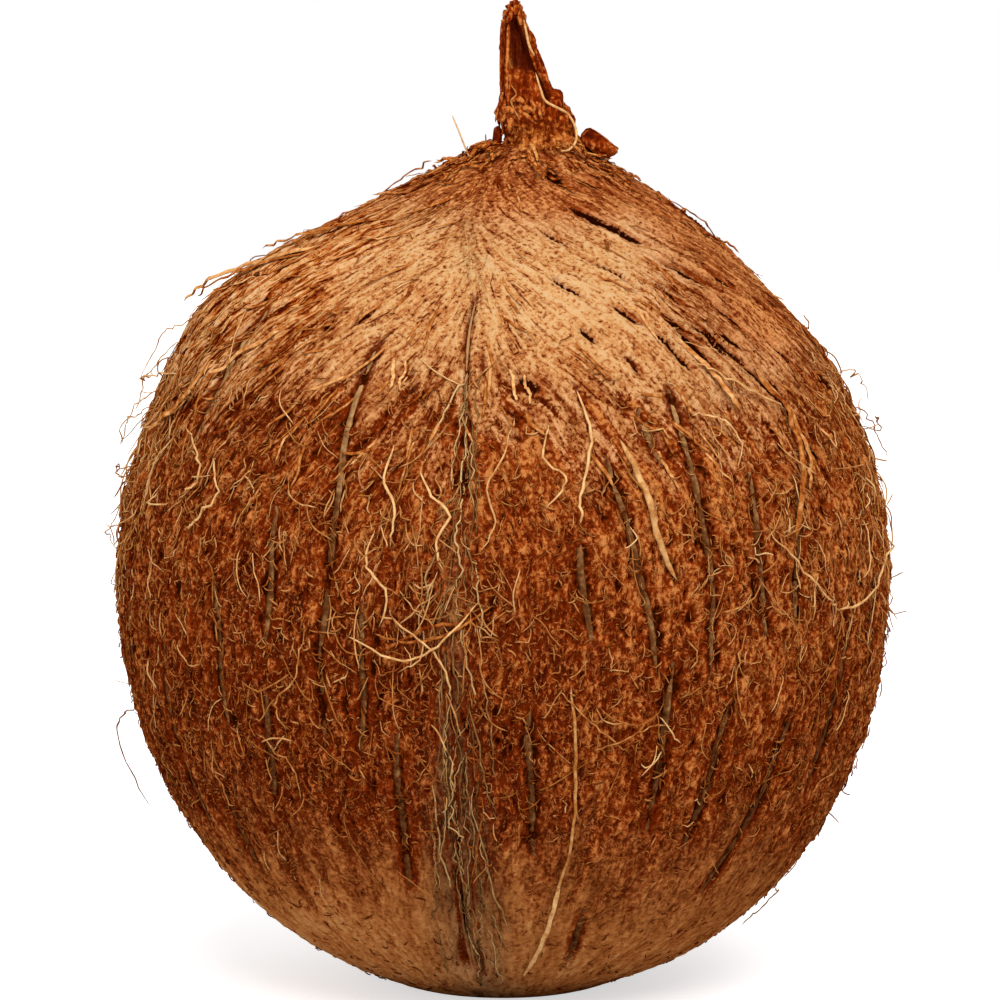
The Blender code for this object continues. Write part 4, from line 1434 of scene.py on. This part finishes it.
def skirt():
    """Splinters that hang round the tuft's foot, from its side down and slightly outwards."""
    draw = np.random.default_rng(95)
    azimuth = draw.uniform(-math.pi, math.pi, SKIRT_COUNT - SKIRT_AT_RIGHT)
    azimuth = np.concatenate([azimuth, draw.uniform(1.1, 2.0, SKIRT_AT_RIGHT)])
    top = draw.uniform(134.2, 137.6, (SKIRT_COUNT, 1))
    length = draw.uniform(1.5, 4.2, (SKIRT_COUNT, 1))
    share = np.linspace(0, 1, SKIRT_POINTS)
    height = top - length * share + 0.15 * np.sin(7 * share + azimuth[:, None])
    left, right = tuft_edges(height)
    flare = draw.uniform(0.1, 1.0, (SKIRT_COUNT, 1)) * share - 0.25 * (1 - share)
    turned = azimuth[:, None] + draw.normal(0, 0.12, (SKIRT_COUNT, 1)) * share
    half = (right - left) / 2
    x = (left + right) / 2 + (half + flare) * np.sin(turned)
    y = -(half * TUFT_DEPTH + flare) * np.cos(turned)
    centre = np.stack([x, y, height], axis=-1)
    outwards = np.stack([np.sin(turned), -np.cos(turned), 0 * turned], axis=-1)
    width = draw.uniform(0.22, 0.7, (SKIRT_COUNT, 1)) * tapered(SKIRT_POINTS, 3)
    shade = np.clip(draw.normal(0.45, 0.2, (SKIRT_COUNT, 1)) + 0.15 * share, 0, 1)
    piece = strands("tuft_skirt", centre, outwards, width, 0.5 * width, SPLINTER_SIDES, shade)
    give(piece, "hollow", np.zeros(len(piece.data.vertices)))
    return piece


# Ribs, frayed edges and stubs of the tuft: half width, shade, then across, forward of the
# front (less is sunk), and height of each stop.
TUFT_RIBS = [
    (0.3, 0.55, [(1.0, 0.0, 148.6), (0.9, 0.15, 145), (0.7, 0.2, 141), (0.8, 0.2, 137.6),
                  (1.4, 0.3, 135.2)]),
    (0.24, 0.15, [(0.0, 0.1, 149), (-0.1, 0.2, 145), (-0.15, 0.2, 141), (-0.1, 0.2, 137)]),
    (0.26, 0.45, [(3.3, 0.0, 148.8), (3.9, 0.15, 146), (4.6, 0.15, 143.4), (5.4, 0.1, 141)]),
    (0.34, 0.3, [(3.5, -0.1, 149.0), (4.5, 0.0, 145.5), (5.6, 0.0, 142), (7.2, 0.0, 138.5),
                  (8.6, -0.2, 136)]),
    (0.45, 0.35, [(1.8, 0.3, 149.6), (2.2, 0.5, 150.6), (2.1, 0.5, 151.6), (1.9, 0.2, 152.0)]),
    (0.4, 0.5, [(0.8, 0.2, 148.4), (1.3, 0.5, 149.5), (1.5, 0.4, 150.9)]),
    (0.36, 0.5, [(2.9, 0.2, 148.0), (2.7, 0.5, 149.4), (2.8, 0.3, 150.8)]),
    (0.3, 0.55, [(0.2, 0.1, 138), (-0.3, 0.5, 136.2), (-0.8, 0.6, 134.8)]),
    (0.6, 0.5, [(0.3, 0.0, 136.6), (-0.4, 0.1, 135.2), (-1.0, 0.2, 134.4)]),
    (0.16, 0.3, [(-0.2, 0.0, 136), (-0.4, 0.2, 133.5), (-0.3, 0.2, 131), (-0.2, -0.3, 129.4)]),
    (1.3, 0.2, [(6.8, 0.0, 132.0), (7.6, 0.3, 134.4), (8.1, 0.2, 136.4), (8.5, 0.0, 138.4)]),
    (1.1, 0.35, [(8.3, 0.0, 131.4), (9.0, 0.4, 133.0), (9.5, 0.2, 134.6), (9.7, 0.0, 136.0)]),
    (0.9, 0.25, [(9.0, 0.0, 131.0), (9.9, 0.5, 132.0), (10.4, 0.2, 133.2), (10.5, 0.0, 134.6)]),
    (0.35, 0.6, [(8.2, 0.2, 134.4), (9.4, 0.5, 134.0), (10.2, 0.4, 133.4)]),
    (0.75, 0.05, [(-0.7, 0.0, 132.8), (-0.7, 0.3, 131), (-1.0, 0.3, 129), (-1.5, 0.0, 127)]),
    (0.55, 0.25, [(-2.2, 1.4, 130.4), (-2.6, 1.8, 128.8), (-3.6, 2.0, 127.2), (-4.8, 2.0, 125.6)]),
    (0.6, 0.1, [(-4.6, 2.0, 128.6), (-5.4, 2.2, 127.4), (-6.6, 2.2, 126.0), (-7.6, 2.0, 124.4)]),
    (0.5, 0.35, [(-6.8, 2.4, 127.2), (-7.8, 2.6, 126.2), (-9.0, 2.4, 125.0)]),
    (0.55, 0.8, [(0.0, 0.4, 134.6), (0.9, 0.9, 135.3), (1.9, 0.9, 134.8)]),
    (0.5, 0.7, [(1.6, 0.5, 136.6), (2.4, 1.0, 136.9), (3.4, 0.9, 136.2)]),
    (0.45, 0.85, [(3.0, 0.5, 135.2), (3.9, 1.0, 135.5), (4.6, 0.9, 134.8)]),
    (0.4, 0.4, [(2.4, 0.1, 137), (3.2, 0.5, 135.4), (3.0, 0.6, 134), (3.6, 0.3, 132.6)]),
    (0.35, 0.6, [(1.4, 0.2, 135.8), (2.6, 0.6, 135.2), (4.2, 0.7, 134.0), (4.8, 0.4, 133)]),
]
# Loose straw fibres on and by the tuft, given in the same way.
TUFT_FIBRES = [
    (0.21, 0.85, [(5.1, 0.1, 141), (5.9, 0.4, 138.3), (6.6, 0.8, 136.6), (8.3, 1.3, 135.6),
                  (10.0, 1.8, 134.6), (11.2, 2.6, 132.6), (11.3, 4.6, 130.6), (10.2, 7.2, 129.2),
                  (8.8, 8.4, 129.0)]),
    (0.2, 0.8, [(3.3, 0.1, 149), (3.8, 0.3, 146.6), (4.2, 0.4, 144.9), (5.0, 0.3, 143.4)]),
    (0.15, 0.45, [(1.4, 0.2, 139), (2.2, 0.7, 137.6), (1.4, 0.9, 136.6), (1.9, 0.9, 135.2),
                  (3.0, 0.8, 133.2)]),
    (0.15, 0.8, [(9.4, 0.4, 134), (9.0, 1.2, 132.6), (8.6, 1.6, 131.4)]),
    (0.13, 0.9, [(-3.8, 3.0, 125.5), (-5.4, 3.4, 129), (-6.6, 3.4, 132), (-7.6, 3.2, 134.4)]),
    (0.12, 0.3, [(-2.1, 2.2, 127.8), (-2.4, 2.6, 129.5), (-2.5, 2.6, 131.6)]),
    (0.14, 0.35, [(-9.0, 2.0, 125.8), (-7.2, 2.8, 126.9), (-5.8, 3.0, 128), (-5.2, 2.8, 129.8)]),
]


def on_the_tuft(name, rows, points, sides, flatness):
    """Strands whose stops are listed, in front of the tuft."""
    paths, width, shade = listed(rows, points)
    x, forward, height = np.moveaxis(paths, -1, 0)
    centre = np.stack([x, tuft_front(x, height) - forward, height], axis=-1)
    outwards = np.broadcast_to([0.0, -1.0, 0.0], centre.shape)
    shade = shade + 0.1 * np.sin(np.arange(points) * 1.9)
    piece = strands(name, centre, outwards, width, flatness * width, sides, shade)
    give(piece, "hollow", np.zeros(len(piece.data.vertices)))
    return piece


husk_tuft = tuft()
tuft_skirt = skirt()
tuft_ribs = on_the_tuft("tuft_ribs", TUFT_RIBS, points=18, sides=6, flatness=0.7)
for piece in (husk_tuft, tuft_skirt, tuft_ribs):
    piece.data.materials.append(husk_material)
    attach(piece, "root")
tuft_fibres = on_the_tuft("tuft_fibres", TUFT_FIBRES, points=26, sides=6, flatness=0.8)
tuft_fibres.data.materials.append(fibre_material)
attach(tuft_fibres, "root")


# ------------------------------------------------------------------ the torn chip
# A stub of husk that stands torn beside the tuft, leaning down to the right: a short slab with
# its fibres running along it, broken square across both ends.
CHIP_ROWS = 46
CHIP_COLUMNS = 64
CHIP_LENGTH = 5.7
CHIP_HALF_HEIGHT = 1.35
CHIP_HALF_DEPTH = 2.6
CHIP_MIDDLE = (14.7, -0.8, 130.0)
CHIP_SLOPE = math.radians(38)


def chip():
    """The slab: a squared oval carried along a slope, grooved lengthwise, with rough ends."""
    turn = np.arange(CHIP_COLUMNS) * 2 * math.pi / CHIP_COLUMNS
    share, turn = np.meshgrid(np.linspace(0, 1, CHIP_ROWS), turn, indexing="ij")
    blunt = np.minimum(1, 6 * np.minimum(share, 1 - share) + 0.55)
    side = np.sign(np.sin(turn)) * np.abs(np.sin(turn)) ** 0.55 * CHIP_HALF_HEIGHT * blunt
    deep = np.sign(np.cos(turn)) * np.abs(np.cos(turn)) ** 0.55 * CHIP_HALF_DEPTH * blunt
    way = (share - 0.5) * CHIP_LENGTH
    place = np.stack([way / 5.0, deep / 0.9, side / 0.8], axis=-1)
    grooves = noise(place, 1.0, 97)
    rough = noise(place * [8, 1, 1], 1.0, 98)
    swell = 1 + 0.22 * grooves + 0.06 * rough - 0.15 * (share - 0.35) ** 2
    side, deep = side * swell, deep * swell
    way = way + 0.5 * rough * (1 - blunt) + 0.35 * side * (share > 0.5)
    x = CHIP_MIDDLE[0] + way * math.cos(CHIP_SLOPE) + side * math.sin(CHIP_SLOPE)
    z = CHIP_MIDDLE[2] - way * math.sin(CHIP_SLOPE) + side * math.cos(CHIP_SLOPE)
    grid = np.stack([x, CHIP_MIDDLE[1] + deep, z], axis=-1)
    ends = grid[[0, -1]].mean(axis=1)
    # Painted shade in the grooves, and the shade goes with the grooves that swell the slab, so what
    # stands out is painted lighter, as a painted highlight.
    shade = 0.28 + 0.55 * grooves + 0.2 * rough
    return torn_piece("husk_chip", grid, ends, smooth_step(-0.15, -0.5, grooves), shade)


husk_chip = chip()
husk_chip.data.materials.append(husk_material)
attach(husk_chip, "root")


# ------------------------------------------------------------------ stand, light and camera
# A glowing white table, such as small goods are shown on, with one wide soft light above the
# camera and one at the left, and white all round.
bpy.ops.mesh.primitive_plane_add(size=6)
floor = bpy.context.active_object
floor.name = "table_top"
# White acrylic lit from below, so that it looks white. Only the camera sees the glow: the nut's
# base gets no more light than the acrylic reflects.
acrylic, add = new_material("white_acrylic")
shader = acrylic.node_tree.nodes["Principled BSDF"]
shader.inputs["Base Color"].default_value = paint("#e4e4e4")
shader.inputs["Roughness"].default_value = 0.9
shader.inputs["Specular IOR Level"].default_value = 0.0
shader.inputs["Emission Color"].default_value = paint("#ffffff")
seen = add("LightPath", {}, "Is Camera Ray")
glow = add("Math", (seen, 0.6), operation="MULTIPLY")
acrylic.node_tree.links.new(glow, shader.inputs["Emission Strength"])
floor.data.materials.append(acrylic)


def lamp(name, kind, place, power):
    """A light at a place in metres that faces the nut's middle."""
    data = bpy.data.lights.new(name, kind)
    data.energy = power
    made = bpy.data.objects.new(name, data)
    made.location = place
    facing = Vector((0, 0, 0.07)) - Vector(place)
    made.rotation_euler = facing.to_track_quat("-Z", "Y").to_euler()
    bpy.context.scene.collection.objects.link(made)
    return data


key = lamp("key", "SUN", (0.2, -1.0, 1.2), power=2.5)
key.angle = math.radians(40)
fill = lamp("fill", "AREA", (-0.9, -0.9, 0.45), power=2.0)
fill.size = 0.7

world = bpy.data.worlds.new("white_room")
world.use_nodes = True
bpy.context.scene.world = world
room = world.node_tree.nodes["Background"]
room.inputs["Color"].default_value = (1, 1, 1, 1)
seen = add_node(world.node_tree, "LightPath", {}, "Is Camera Ray")
strength = add_node(world.node_tree, "MapRange", (seen, 0.0, 1.0, 0.62, 1.0))
world.node_tree.links.new(strength, room.inputs["Strength"])

VIEW_WIDE = 154.4  # how far across the camera sees at the nut's axis
SENSOR_WIDE = 36
CAMERA_AWAY = 700.0
CAMERA_ELEVATION = math.radians(5)
AIM = np.array([-0.3, 0.0, 75.2])  # the point that the camera faces
camera_data = bpy.data.cameras.new("camera")
camera_data.sensor_width = SENSOR_WIDE
camera_data.lens = SENSOR_WIDE * CAMERA_AWAY / VIEW_WIDE
camera = bpy.data.objects.new("camera", camera_data)
back = np.array([0, -math.cos(CAMERA_ELEVATION), math.sin(CAMERA_ELEVATION)])
camera.location = (AIM + back * CAMERA_AWAY) * MM
camera.rotation_euler = (math.pi / 2 - CAMERA_ELEVATION, 0, 0)
bpy.context.scene.collection.objects.link(camera)
bpy.context.scene.camera = camera
bpy.context.scene.view_settings.view_transform = "Standard"
